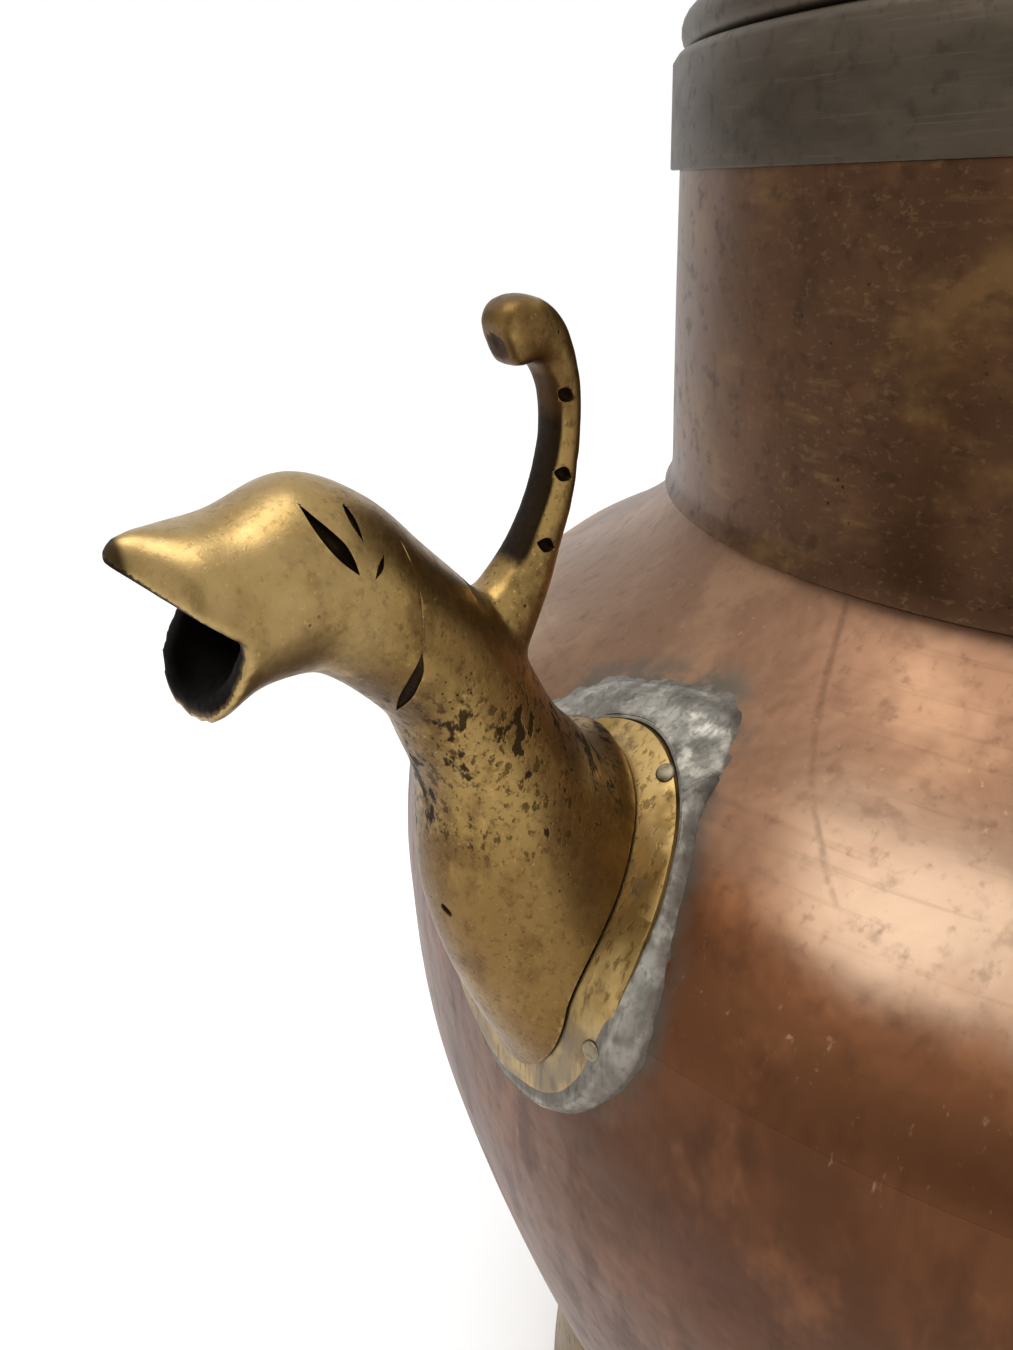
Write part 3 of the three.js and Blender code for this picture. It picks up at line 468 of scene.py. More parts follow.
# Cut with a chisel on both sides of the head: the eye, the line round the neck, the horn's notches
eye_front = [(-169.3, -4.4, 282.6, 0.15), (-168.5, -6.9, 280.8, 0.45), (-167.6, -8.3, 279.3, 0.75),
             (-166.6, -9, 277.8, 0.85), (-165.8, -9.5, 276.4, 0.5), (-165.2, -9.7, 275.2, 0.1)]
eye_rear = [(-164.7, -3.6, 282.1, 0.1), (-164.5, -5.4, 281, 0.4), (-164.2, -6.9, 279.6, 0.45),
            (-163.8, -8.1, 277.9, 0.12)]
eye_corner = [(-161.8, -8.3, 276.3, 0.1), (-162.6, -9.1, 275.3, 0.35), (-163.5, -9.6, 274.4, 0.1)]
neck_line = [(-158.8, -5.9, 277, 0.1), (-158.6, -7.1, 275.8, 0.2), (-158.3, -8.2, 273.9, 0.2),
             (-158.2, -9, 271.9, 0.2), (-158.4, -9.6, 269.3, 0.2), (-158.6, -9.6, 265.8, 0.1)]
gouge = [(-158.8, -9.5, 265, 0.1), (-159.1, -9.1, 263, 0.6), (-159.6, -8, 261, 0.75),
         (-159.9, -6.6, 259, 0.7), (-159.9, -4.2, 256.7, 0.15)]
slit = [(-154.5, -0.9, 226.3, 0.2), (-154.3, -1.6, 225.2, 0.7), (-153.9, -2.4, 224.1, 0.2)]
notches = [
    [(-136.6, -2.9, 288.6, 0.5), (-135.3, -3.1, 288.1, 0.95), (-134.1, -3, 287.3, 0.4)],
    [(-137.1, -2.8, 279.6, 0.5), (-135.7, -3, 279.2, 0.95), (-134.5, -2.9, 278.4, 0.4)],
    [(-139.9, -3.3, 271.9, 0.5), (-138.6, -3.5, 271.4, 0.95), (-137.4, -3.4, 270.6, 0.4)]]
cuts = [(eye_front, 1.5), (eye_rear, 0.8), (eye_corner, 0.6), (neck_line, 0.28), (gouge, 0.8)]
cuts += [(notch, 1.3) for notch in notches]
combine(casting, [carved(line, deep, side) for line, deep in cuts for side in (1, -1)]
        + [carved(slit, 1.1)], "DIFFERENCE")

# Flange and solder, bent to the wall

flange = piece("spout_flange_bent", core(FIT + FLANGE_T, FINE_ROUND))
combine(flange, [core(FIT, FINE_ROUND)], "DIFFERENCE")
combine(flange, [root_prism(on_flange(oval(FLANGE_NEAR_W, FLANGE_H, 96, FLANGE_FAR_W)))], "INTERSECT")
combine(flange, [root_prism(wall_hole)], "DIFFERENCE")
rounded(flange, 0.5)


def seated(y, z, proud=0):
    """A place on the wall's spout side, and the wall's outward direction there."""
    radius = wall_radius(z)
    flat = Vector((-sqrt(max(radius * radius - y * y, 0)), y, 0)).normalized()
    out = flat * cos(wall_pitch(z)) + Vector((0, 0, sin(wall_pitch(z))))
    return flat * radius + Vector((0, 0, z)) + out * proud, out


def flange_spot(turn, margin):
    """Where a line to a place round the flange, so far beyond its edge, meets the wall."""
    half_w = FLANGE_NEAR_W if cos(turn) > 0 else FLANGE_FAR_W
    across, up = on_flange([
        ((half_w + margin) * cos(turn), (FLANGE_H + margin) * sin(turn))])[0]
    start = ROOT + root_across * across + root_up * up
    near, far = 30.0, -20.0
    for _ in range(16):
        middle = (near + far) / 2
        spot = start + root_out * middle
        if hypot(spot.x, spot.y) > wall_radius(spot.z):
            near = middle
        else:
            far = middle
    return start + root_out * near


# Width of the solder run beyond the flange, at even steps round it from the flange's near side
SOLDER_WIDTHS = [1.6, 1.4, 1.8, 6.6, 9.8, 8.8, 8, 9.4, 9.5, 8, 6, 4.5, 3, 2, 1.4, 1.2, 1.4, 1.6, 2, 1.9,
                 2.2, 3.4, 4.7, 3.3]
solder_steps = len(SOLDER_WIDTHS)
solder_edge = through([(k, SOLDER_WIDTHS[k % solder_steps]) for k in range(-1, solder_steps + 2)], 10)


def solder_width(turn):
    """Width of the run at a turn round the flange."""
    step = (turn / tau % 1) * solder_steps
    return max(solder_edge[round((step + 1) * 10)].y, 0.8)


def lump(spot, y, z, long, wide, high, lean=0):
    """Height at a place of a soft lump on the wall, long across and wide up, leaning."""
    across, up = Matrix.Rotation(radians(lean), 2) @ Vector((spot.y - y, spot.z - z))
    return high * exp(-(across / long) ** 2 - (up / wide) ** 2)


def below(turn):
    """1 under the flange, where the solder gathered, and 0 over it."""
    return eased(-sin(turn - 0.35), 0.3, 0.9)


def solder_height(turn, margin, spot):
    """Thickness of the solder: it rises to the flange's edge and runs out thin on the copper."""
    over = below(turn)
    top = 1.6 + 0.85 * over
    if margin < 0:
        return top - 0.5 * over * (margin / SOLDER_LAP) ** 2
    run = min(margin / solder_width(turn), 1)
    high = top * (1 - run) ** (1.5 - 0.4 * over) + 0.35 * sin(pi * run) - 0.12 * run
    fade = 1 - eased(run, 0.8, 1)
    lumps = (lump(spot, 1.5, 239.2, 6, 1, 1.1, 6) + lump(spot, -4.5, 240, 2.4, 0.8, 0.9, 25)
             + lump(spot, -9.5, 234.3, 3.4, 1.2, 1, 62) + lump(spot, 14, 237, 5, 1, 0.7))
    grain = Vector((spot.x, spot.y * 2, spot.z * 0.7))
    return (high + lumps * fade + noise.noise(spot * 0.35) * 0.34 * (1 - 0.3 * run)
            + noise.noise(grain * 0.9) * 0.1)


# Round the run go its turns; across it go a top from over the flange out to the edge and an underside
SOLDER_TOP = [-1, -0.6, -0.3, -0.1, 0, 0.05, 0.12, 0.2, 0.3, 0.4, 0.5, 0.6, 0.7, 0.8, 0.9, 1]
solder_loop = [(out, True) for out in SOLDER_TOP] + [(1, False), (0.5, False), (-1, False)]
SOLDER_TURNS = 300
run_mesh = bmesh.new()
bmesh.ops.create_grid(run_mesh, x_segments=SOLDER_TURNS, y_segments=len(solder_loop), size=1)
for v in run_mesh.verts:
    turn = (v.co.x + 1) * pi
    out, top = solder_loop[round((v.co.y + 1) / 2 * len(solder_loop)) % len(solder_loop)]
    covered = SOLDER_LAP * below(turn) + SOLDER_LEAST_LAP
    margin = out * (covered if out < 0 else solder_width(turn))
    spot = flange_spot(turn, margin)
    rise = solder_height(turn, margin, spot) if top else -0.3
    v.co = seated(spot.y, spot.z, rise)[0] * MM
bmesh.ops.remove_doubles(run_mesh, verts=run_mesh.verts, dist=1e-6)
solder = piece("spout_solder_run", run_mesh)

# Rivets


def rivet(name, seat, out, outside, inside, shank, head, rise):
    """A rivet with its heads on the faces outside and inside, along the line out of the seat."""
    high, low = outside + FIT * 0.5, inside - FIT * 0.5
    dome = [(head * cos(t), high + rise * sin(t)) for t in (0, 0.25, 0.5, 0.8, 1.1, 1.35)]
    line = ([(0, low - rise * 0.7), (head * 0.6, low - rise * 0.6), (head * 0.9, low), (shank, low),
             (shank, high), (head * 0.96, high)] + dome + [(0, high + rise)])
    return piece(name, rod(line, seat, out))


def seat_on(y, z, radius, pitch):
    """A place on the handle's side of a round wall, and the wall's outward direction there."""
    flat = Vector((sqrt(radius * radius - y * y), y, 0)).normalized()
    return flat * radius + Vector((0, 0, z)), flat * cos(pitch) + Vector((0, 0, sin(pitch)))


spout_rivets = {}
for i, angle in enumerate(SPOUT_RIVET_TURNS):
    spot = flange_spot(radians(angle), -SPOUT_RIVET_IN)
    seat, out = seated(spot.y, spot.z)
    spout_rivets[f"spout_rivet_{i + 1}"] = rivet(
        f"spout_rivet_head_{i + 1}", seat, out, FIT + FLANGE_T, -2 * SHEET - FIT, *SPOUT_RIVET)

# Handle: a cast strap with a plate at each end

reach = BEAK_REACH - HANDLE_T / 2
belly_r = wall_radius(HANDLE_FOOT_Z)
drop = HANDLE_TOP_Z - HANDLE_FOOT_Z
route = through([
    (NECK_R - 3, HANDLE_TOP_Z - 2), (NECK_R + 18, HANDLE_TOP_Z + 7), (NECK_R + 45, HANDLE_TOP_Z + 12),
    (reach - 18, HANDLE_TOP_Z + 1), (reach - 2.5, HANDLE_TOP_Z - drop * 0.22),
    (reach, HANDLE_TOP_Z - drop * 0.4), (reach - 9, HANDLE_TOP_Z - drop * 0.68),
    ((reach + belly_r) / 2 - 1, HANDLE_FOOT_Z + drop * 0.1), (belly_r - 4, HANDLE_FOOT_Z)], 8)
strap = []
for i, (x, z) in enumerate(route):
    along = route[min(i + 1, len(route) - 1)] - route[max(i - 1, 0)]
    waist = 1 - 0.18 * sin(pi * i / (len(route) - 1))
    strap.append((x, 0, z, degrees(atan2(along.y, along.x)),
                  HANDLE_T / 2, HANDLE_W / 2 * waist, 0, 2.6))
plates = piece("plates", core(FIT + PLATE_T))
combine(plates, [core(FIT)], "DIFFERENCE")
top_disc, foot_disc = (
    piece("disc", prism(oval(PLATE_W / 2, PLATE_H / 2, 64), Vector((0, 0, z)), Y,
                        Z, NECK_R / 2, BEAK_REACH))
    for z in (HANDLE_TOP_Z, HANDLE_FOOT_Z))
combine(top_disc, [foot_disc], "UNION")
combine(plates, [top_disc], "INTERSECT")
handle = piece("handle_cast", swept(strap, 48))
combine(handle, [core(FIT)], "DIFFERENCE")
combine(handle, [plates], "UNION")
cast_skin(handle, 0.9, 4)

fitting_rivets = {}
for i, (across, up) in enumerate((
        (0, PLATE_H * 0.34), (PLATE_W * 0.28, -PLATE_H * 0.25), (-PLATE_W * 0.28, -PLATE_H * 0.25))):
    low_z = HANDLE_FOOT_Z - up
    for end, place in (
            ("upper", seat_on(across, HANDLE_TOP_Z + up, NECK_R, 0)),
            ("lower", seat_on(across, low_z, wall_radius(low_z), wall_pitch(low_z)))):
        made = rivet(f"handle_rivet_head_{end}_{i + 1}", *place, FIT + PLATE_T, -SHEET, *RIVET)
        fitting_rivets[f"handle_rivet_{end}_{i + 1}"] = made

# Lid: rolled edge, collar, dome and finial

bead_mid = band_out - 1.2 - BEAD_R
bead_z = lip_top + sqrt((BEAD_R + FIT) ** 2 - (lip_crest - bead_mid) ** 2)


def on_bead(angle, out):
    """A place round the bead's section, so far out of its face."""
    turn, radius = radians(angle), BEAD_R + out
    return Vector((bead_mid + radius * cos(turn), bead_z + radius * sin(turn)))


lid_rim = piece("lid_edge_rolled", turned([on_bead((k + 0.5) * 15, -0.08) for k in range(24)]))
collar_out = lip_in - 1.3
collar_in = collar_out - SHEET
collar_top = bead_z - BEAD_R - FIT
lid_collar = piece("lid_collar_bent", turned([
    (collar_out, collar_top), (collar_out, collar_top - 4), (collar_out, collar_top - 8),
    (collar_in, collar_top - 8), (collar_in, collar_top - 4), (collar_in, collar_top)]))
rounded(lid_collar, 0.3)

dome_top = bead_z + LID_RISE
dome_edge = on_bead(118, FIT)
dome_line = bezier([dome_edge, (dome_edge.x - 12, bead_z + LID_RISE * 0.52),
                    (dome_edge.x * 0.54, dome_top), (SHANK_R + FIT, dome_top)], 28)
dome = piece("lid_dome_beaten", turned(
    dome_line + offset(dome_line, LID_SHEET)[1:][::-1] + [on_bead(142, FIT)]))
for v in dome.data.vertices:
    radius = hypot(v.co.x, v.co.y) / MM
    ease = min(max((72 - radius) / 14, 0), 1) * min(max((radius - 16) / 8, 0), 1)
    v.co.z -= (noise.noise(v.co * 45) + 1) * 0.25 * ease * MM

finial_seat = dome_top + FIT
finial_foot = finial_seat + FINIAL_COLLAR_T + FIT
rove_top = dome_top - LID_SHEET - 2 * FIT
finial_collar = piece("lid_finial_collar_turned", turned([
    (SHANK_R + FIT, finial_seat), (FINIAL_COLLAR_R, finial_seat),
    (FINIAL_COLLAR_R, finial_seat + 1), (FINIAL_COLLAR_R - 0.6, finial_seat + 1.7),
    (FINIAL_COLLAR_R - 2, finial_seat + FINIAL_COLLAR_T),
    (SHANK_R + FIT, finial_seat + FINIAL_COLLAR_T)], 96))
rounded(finial_collar, 0.25)
rove = piece("lid_finial_rove_cut", turned([
    (SHANK_R + FIT, rove_top - ROVE_T), (ROVE_R, rove_top - ROVE_T), (ROVE_R, rove_top),
    (SHANK_R + FIT, rove_top)], 64))
rounded(rove, 0.25)
knob = finial_foot + FINIAL_H * 0.5
finial_outside = through([(FINIAL_R * share, z) for share, z in (
    (0.84, finial_foot), (0.8, finial_foot + 1.2), (0.38, finial_foot + 4.4),
    (0.42, knob - FINIAL_R * 0.75), (0.82, knob - FINIAL_R * 0.45), (0.99, knob),
    (0.84, knob + FINIAL_R * 0.45), (0.36, knob + FINIAL_R * 0.86), (0.24, knob + FINIAL_R * 1.05),
    (0.34, finial_foot + FINIAL_H - 3.4), (0.2, finial_foot + FINIAL_H - 0.5))], 6)
finial = piece("lid_finial_turned", turned(
    [(0, rove_top - 3.2), (SHANK_R * 1.2, rove_top - 3), (SHANK_R * 1.45, rove_top - 2.4),
     (SHANK_R * 1.5, rove_top - 1.8), (SHANK_R, rove_top - 1.8), (SHANK_R, finial_foot)]
    + finial_outside + [(0, finial_foot + FINIAL_H)], 96))

# Hinge: leaf on the dome, bracket on the band, pin through both

pin_x, pin_z = band_out + 6.5, lip_top + 8


def sideways(outline, width, y=0):
    """An outline seen from the side, as wide as said."""
    return prism(outline, Vector((0, y, 0)), X, Z,
                 -width / 2, width / 2)


def pin_rod(line):
    """A line of (radius, along) turned about the hinge's pin."""
    return rod(line, Vector((pin_x, 0, pin_z)), Y, 64)


def dome_height(r):
    """Height of the dome's outside at a radius."""
    for (r0, z0), (r1, z1) in zip(dome_line, dome_line[1:]):
        if r1 <= r <= r0:
            return z0 + (z1 - z0) * (r0 - r) / (r0 - r1)
    return dome_line[0].y


pin_hole = [(0, -40), (PIN_HOLE_R, -40), (PIN_HOLE_R, 40), (0, 40)]
leaf_bend = dome_edge.x - 3.5
leaf_flat = max(bead_z + BEAD_R + FIT, dome_height(leaf_bend) + FIT) + FIT
leaf_steps = [leaf_bend - (leaf_bend - LEAF_TIP_R) * k / 8 for k in range(1, 9)]
leaf_under = [(leaf_bend, leaf_flat)] + [(r, dome_height(r) + FIT * 1.6) for r in leaf_steps]
leaf = piece("lid_hinge_leaf_bent", sideways(
    leaf_under + [(r + 0.3, z + LEAF_T) for r, z in leaf_under][::-1], LEAF_W))
arm_z = max(leaf_flat, dome_height(leaf_bend - 1) + FIT)
arm = [(leaf_bend - 1, arm_z), (pin_x, arm_z), (pin_x, arm_z + LEAF_T), (leaf_bend - 1, arm_z + LEAF_T)]
half = KNUCKLE_W / 2
knuckle = [(0, -half), (KNUCKLE_R, -half), (KNUCKLE_R, half), (0, half)]
combine(leaf, [sideways(arm, KNUCKLE_W), pin_rod(knuckle)], "UNION")
combine(leaf, [pin_rod(pin_hole)], "DIFFERENCE")
rounded(leaf, 0.35)

bracket_in, bracket_top, bracket_foot = band_out + FIT, lip_top - LIP_T, BAND_Z + 0.6
bracket = piece("neck_hinge_bracket_bent", turned([
    (bracket_in, bracket_foot), (bracket_in, bracket_top),
    (bracket_in + BRACKET_T, bracket_top), (bracket_in + BRACKET_T, bracket_foot)]))
bracket_part = [
    (NECK_R / 2, BAND_Z), (NECK_R + 20, BAND_Z), (NECK_R + 20, lip_top), (NECK_R / 2, lip_top)]
combine(bracket, [sideways(bracket_part, BRACKET_W)], "INTERSECT")
ear_in = bracket_in + 0.9
ear = [(ear_in, BAND_Z + 1.5), (ear_in + 2.2, BAND_Z + 1.5)]
ear += [(pin_x + EAR_R * cos(radians(a)), pin_z + EAR_R * sin(radians(a)))
        for a in range(-20, 176, 13)]
ear += [(ear_in, bracket_top - 0.5)]
combine(bracket, [sideways(ear, EAR_T, y) for y in (-EAR_Y, EAR_Y)], "UNION")
combine(bracket, [pin_rod(pin_hole)], "DIFFERENCE")
rounded(bracket, 0.35)

pin_end = 10.6
pin_head = [(3.4, pin_end), (3.4, pin_end + 0.5), (3, pin_end + 0.95), (1.8, pin_end + 1.25),
            (0, pin_end + 1.3)]
hinge_pin = piece("hinge_pin_turned", pin_rod(
    [(r, -t) for r, t in pin_head][::-1] + [(PIN_R, -pin_end), (PIN_R, pin_end)] + pin_head))

leaf_pitch = atan2(leaf_bend - LEAF_TIP_R, dome_height(LEAF_TIP_R) - dome_height(leaf_bend))
leaf_r = (leaf_bend + LEAF_TIP_R) / 2 - 2
for i, sign in enumerate((-1, 1)):
    place = seat_on(sign * LEAF_W * 0.28, dome_height(leaf_r), leaf_r, leaf_pitch)
    fitting_rivets[f"lid_leaf_rivet_{i + 1}"] = rivet(
        f"lid_leaf_rivet_head_{i + 1}", *place, 2 * FIT + LEAF_T, -LID_SHEET, *RIVET)
    place = seat_on(sign * 15, BAND_Z + 3.8, band_out, 0)
    fitting_rivets[f"bracket_rivet_{i + 1}"] = rivet(
        f"bracket_rivet_head_{i + 1}", *place, FIT + BRACKET_T, NECK_R - SHEET - band_out, *RIVET)

# Wear, dirt, painted highlights and painted shade, kept on the meshes as numbers from 0 to 1

FULL_RELIEF = 0.08  # how far out of its neighbours a corner is fully worn


def keep(made, name, numbers):
    """Keeps a number for each corner of a mesh."""
    layer = made.data.attributes.new(name, "FLOAT", "POINT")
    layer.data.foreach_set("value", numbers)


def paint(made, **rules):
    """Keeps numbers worked out from each corner's place in millimetres and its normal."""
    for name, rule in rules.items():
        keep(made, name, [rule(v.co / MM, v.normal) for v in made.data.vertices])


def paint_relief(made):
    """Keeps how far each corner stands out (worn) or lies in (deep) against those round it."""
    bm = bmesh.new()
    bm.from_mesh(made.data)
    relief = []
    for v in bm.verts:
        near = [e.other_vert(v).co for e in v.link_edges]
        middle = sum(near, Vector()) / len(near) if near else v.co
        relief.append((v.co - middle).dot(v.normal) / (FULL_RELIEF * MM))
    links = [[e.other_vert(v).index for e in v.link_edges] for v in bm.verts]
    for _ in range(2):
        relief = [(relief[i] + sum(relief[j] for j in near)) / (1 + len(near))
                  for i, near in enumerate(links)]
    bm.free()
    for name, sign in (("worn", 1), ("deep", -1)):
        keep(made, name, [min(max(sign * r, 0), 1) for r in relief])


def beyond_solder(place):
    """How many millimetres a place lies beyond the edge of the solder."""
    local = place - ROOT
    flat = Vector((local.dot(root_across) - FLANGE_SIDE, local.dot(root_up) - FLANGE_UP))
    flat.rotate(Matrix.Rotation(radians(-FLANGE_TILT), 2))
    half_w = FLANGE_NEAR_W if flat.x > 0 else FLANGE_FAR_W
    turn = atan2(flat.y / FLANGE_H, flat.x / half_w)
    reach = (hypot(flat.x / half_w, flat.y / FLANGE_H) - 1) * 23 - solder_width(turn)
    return reach if place.x < 0 else 100


# The seam's line over the shoulder: radius, and degrees round from the spout
seam_line = through([(85, 2.5), (94.3, 5), (103.6, 7.8), (112.5, 10.8), (120.7, 14.4), (128, 17),
                     (150, 18)], 6)
SEAM_SIDE = 20  # how far across from the seam its distance is told


def seam_distance(place, normal):
    """Distance across from the sheet's seam: 0.5 on the seam, 0 or 1 well away on either side."""
    radius = hypot(place.x, place.y)
    for low, high in zip(seam_line, seam_line[1:]):
        if radius <= high.x:
            break
    seam = low.lerp(high, (radius - low.x) / (high.x - low.x)).y
    angle = degrees(atan2(-place.y, -place.x))
    return min(max(0.5 + radians(angle - seam) * radius / (2 * SEAM_SIDE), 0), 1)


def above_ridge(place):
    """Height over the line between the painted highlight on the shoulder's ridge and the painted shade
    below it, which climbs a little beside the spout.
    """
    return place.z - RIDGE_Z - 4 * (1 - eased(beyond_solder(place), 2, 28))


for made in (bowl, shoulder):
    paint(made,
          heat=lambda p, n: 1 - eased(beyond_solder(p), 2, 24),
          smoke=lambda p, n: 1 - eased(beyond_solder(p), -2, 5),
          # low is painted shade below the shoulder's ridge; ridge is a painted highlight along it
          low=lambda p, n: eased(-above_ridge(p), -1, 6),
          ridge=lambda p, n: (1 - eased(abs(above_ridge(p) - 4), 0, 12))
          * eased(beyond_solder(p), 6, 26))
paint(shoulder, seam=seam_distance,
      seamed=lambda p, n: 1 - eased(hypot(p.x, p.y), 118, 130))
paint(flange, film=lambda p, n: eased(-p.z, -218, -205))
paint(solder, low=lambda p, n: eased(-p.z, -222, -200),
      edge=lambda p, n: eased(beyond_solder(p), -1.5, -0.2))
middles = smoothed(spout_stations) + smoothed(horn_stations)
spine = kdtree.KDTree(len(middles))
for i, station in enumerate(middles):
    spine.insert(Vector(station[:3]), i)
spine.balance()


def inside(place, normal):
    """1 where the casting's skin faces its own middle, as in the mouth."""
    middle = spine.find(place)[0]
    return eased(-(place - middle).normalized().dot(normal), -0.25, 0.25)


def cut(place, normal):
    """1 in what the chisel took off, and on the beak's worn tip."""
    depth = before_cuts.find_nearest(place * MM)[3] / MM
    return max(eased(depth, 0.02, 0.25), eased(-place.x, 184.6, 186.8))


horn_top = max(corner.co.z for corner in casting.data.vertices) / MM
# inside: the mouth and bore, painted near black as painted shade
paint(casting, inside=inside, cut=cut,
      high=lambda p, n: eased(p.z, 222, 248),
      neck=lambda p, n: eased(p.z, 230, 238) * (1 - eased(p.z, 254, 264)),
      # Painted highlight: the head is painted paler
      head=lambda p, n: eased(-p.x, 158, 168) * eased(p.z, 256, 264),
      # Painted shade on the faces that look down, under the head and neck
      under=lambda p, n: eased(-n.z, 0.05, 0.8) * eased(p.z, 236, 246),
      curl=lambda p, n: eased(p.z, horn_top - 15, horn_top - 11) * eased(-n.x, -0.6, 0.5),
      # Painted shade on the horn's front faces
      soot=lambda p, n: (eased(-n.x, 0.3, 0.75) * eased(p.x, -144, -141)
                         * eased(p.z, 266, 271) * (1 - eased(p.z, 289, 292))))
for made in (casting, handle, solder):
    paint_relief(made)

# Finishes


def srgb(code):
    """A colour written as on a paint card, for the shader."""
    parts = [int(code[i:i + 2], 16) / 255 for i in (1, 3, 5)]
    return (*(c / 12.92 if c <= 0.04045 else ((c + 0.055) / 1.055) ** 2.4 for c in parts), 1)


def add(tree, kind, values=(), **settings):
    """Adds a node, with its settings and what goes into its sockets."""
    made = tree.nodes.new("ShaderNode" + kind)
    for name, value in settings.items():
        setattr(made, name, value)
    for socket, value in dict(values).items():
        if isinstance(value, bpy.types.NodeSocket):
            tree.links.new(value, made.inputs[socket])
        else:
            made.inputs[socket].default_value = value
    return made


def metal(name, ground, roughness, layers, metallic=1.0):
    """A metal: its ground colour and roughness, and layers over them. Each layer has a pattern (grain,
    cells or a number kept on the mesh), its size in mm, where it starts and is full, its colour and how
    strongly it covers, what it adds to the roughness, its height in mm, and what it keeps within."""
    made = bpy.data.materials.new(name)
    made.use_nodes = True
    tree = made.node_tree
    shader = tree.nodes["Principled BSDF"]
    shader.inputs["Metallic"].default_value = metallic
    place = add(tree, "TexCoord").outputs["Object"]
    colour, rough, height = srgb(ground), roughness, 0.0
    for i, (pattern, size, low, high, tint, cover, rougher, tall, *within) in enumerate(layers):
        masks = []
        for source, scale, start, full in [(pattern, size, low, high)] + within:
            if source in ("grain", "cells"):
                sides = scale if isinstance(scale, tuple) else (scale, scale, scale)
                spot = add(tree, "Mapping", {
                    "Vector": place, "Scale": [1 / (MM * s) for s in sides],
                    "Location": (7.3 * i, 3.1 * i, 5.7 * len(masks))}).outputs[0]
            if source == "grain":
                value = add(tree, "TexNoise", {"Vector": spot, "Scale": 1, "Detail": 4,
                                               "Roughness": 0.6}).outputs["Fac"]
            elif source == "cells":
                value = add(tree, "TexVoronoi", {"Vector": spot, "Scale": 1}).outputs["Distance"]
            else:
                value = add(tree, "Attribute", attribute_name=source).outputs["Fac"]
            masks.append(add(tree, "MapRange", {
                "Value": value, "From Min": start, "From Max": full},
                interpolation_type="SMOOTHSTEP").outputs["Result"])
        mask = masks[0]
        for other in masks[1:]:
            mask = add(tree, "Math", {0: mask, 1: other}, operation="MULTIPLY").outputs[0]
        if tint:
            part = add(tree, "Math", {0: mask, 1: cover}, operation="MULTIPLY").outputs[0]
            colour = add(tree, "Mix", {0: part, 6: colour, 7: srgb(tint)}, data_type="RGBA").outputs[2]
        if rougher:
            rough = add(tree, "Math", {0: mask, 1: rougher, 2: rough},
                        operation="MULTIPLY_ADD").outputs[0]
        if tall:
            height = add(tree, "Math", {0: mask, 1: tall * MM, 2: height},
                         operation="MULTIPLY_ADD").outputs[0]
    bump = add(tree, "Bump", {"Height": height, "Distance": 1.0})
    tree.links.new(colour, shader.inputs["Base Color"])
    tree.links.new(rough, shader.inputs["Roughness"])
    tree.links.new(bump.outputs[0], shader.inputs["Normal"])
    return made


# Copper raised by hand: brown metal, smoky in clouds, with a painted highlight along the shoulder's
# ridge and painted shade below it, flushed orange by the solder's heat and greyed right by it, with
# fine hammer and rub marks.
# A faint upright seam shows on the shoulder.
beaten_copper = metal("beaten_copper", "#7e5f47", 0.35, [
    ("grain", (70, 70, 60), 0.42, 0.62, "#755643", 0.7, 0.04, 0),
    ("grain", (24, 24, 20), 0.48, 0.66, "#9c7a5e", 0.5, 0, 0),
    # Painted highlight: a pale band along the shoulder's ridge
    ("ridge", 0, 0, 1, "#bfa78e", 0.5, 0.04, 0, ("grain", 30, 0.25, 0.6)),
    # Painted shade: dark below the ridge; the grains kept within low darken only there
    ("low", 0, 0, 1, "#603d27", 1, 0.04, 0),
    ("grain", (24, 24, 40), 0.46, 0.66, "#4c2f1e", 0.7, 0.04, 0, ("low", 0, 0, 0.6)),
    ("grain", (13, 13, 20), 0.52, 0.68, "#7a5034", 0.6, 0, 0, ("low", 0, 0, 0.6)),
    ("heat", 0, 0.05, 0.7, "#b8703a", 0.9, 0.03, 0, ("grain", 26, 0.22, 0.48)),
    ("grain", (9, 9, 26), 0.5, 0.68, "#3d261a", 0.4, 0.06, 0, ("low", 0, 0, 0.6)),
    ("grain", (2.2, 2.2, 14), 0.56, 0.72, "#4d3626", 0.22, 0.05, -0.002),
    ("grain", (60, 60, 0.9), 0.56, 0.74, "#563d2c", 0.12, 0.04, -0.002),
    ("grain", 4, 0.52, 0.72, "#553c2c", 0.2, 0.06, 0),
    ("grain", (1.2, 1.2, 9), 0.62, 0.74, "#b4977a", 0.3, 0, -0.003,
     ("grain", 24, 0.48, 0.58)),
    ("smoke", 0, 0.05, 0.9, "#59544b", 0.85, 0.15, 0, ("grain", (7, 7, 12), 0.34, 0.6)),
    ("seam", 0, 0.47, 0.5, "#4a3426", 0.16, 0.05, -0.008, ("seam", 0, 0.515, 0.5),
     ("grain", (3, 3, 9), 0.4, 0.62), ("seamed", 0, 0, 1)),
    ("seam", 0, 0.48, 0.52, None, 0, 0, 0.06, ("seamed", 0, 0, 1)),
    ("cells", 4, 0.1, 0.04, "#3a281c", 0.6, 0.1, -0.02, ("grain", 30, 0.58, 0.68)),
    ("grain", (34, 34, 30), 0.3, 0.7, None, 0, 0, 0.22),
    ("grain", (7, 7, 6), 0.3, 0.7, None, 0, 0, 0.012),
])
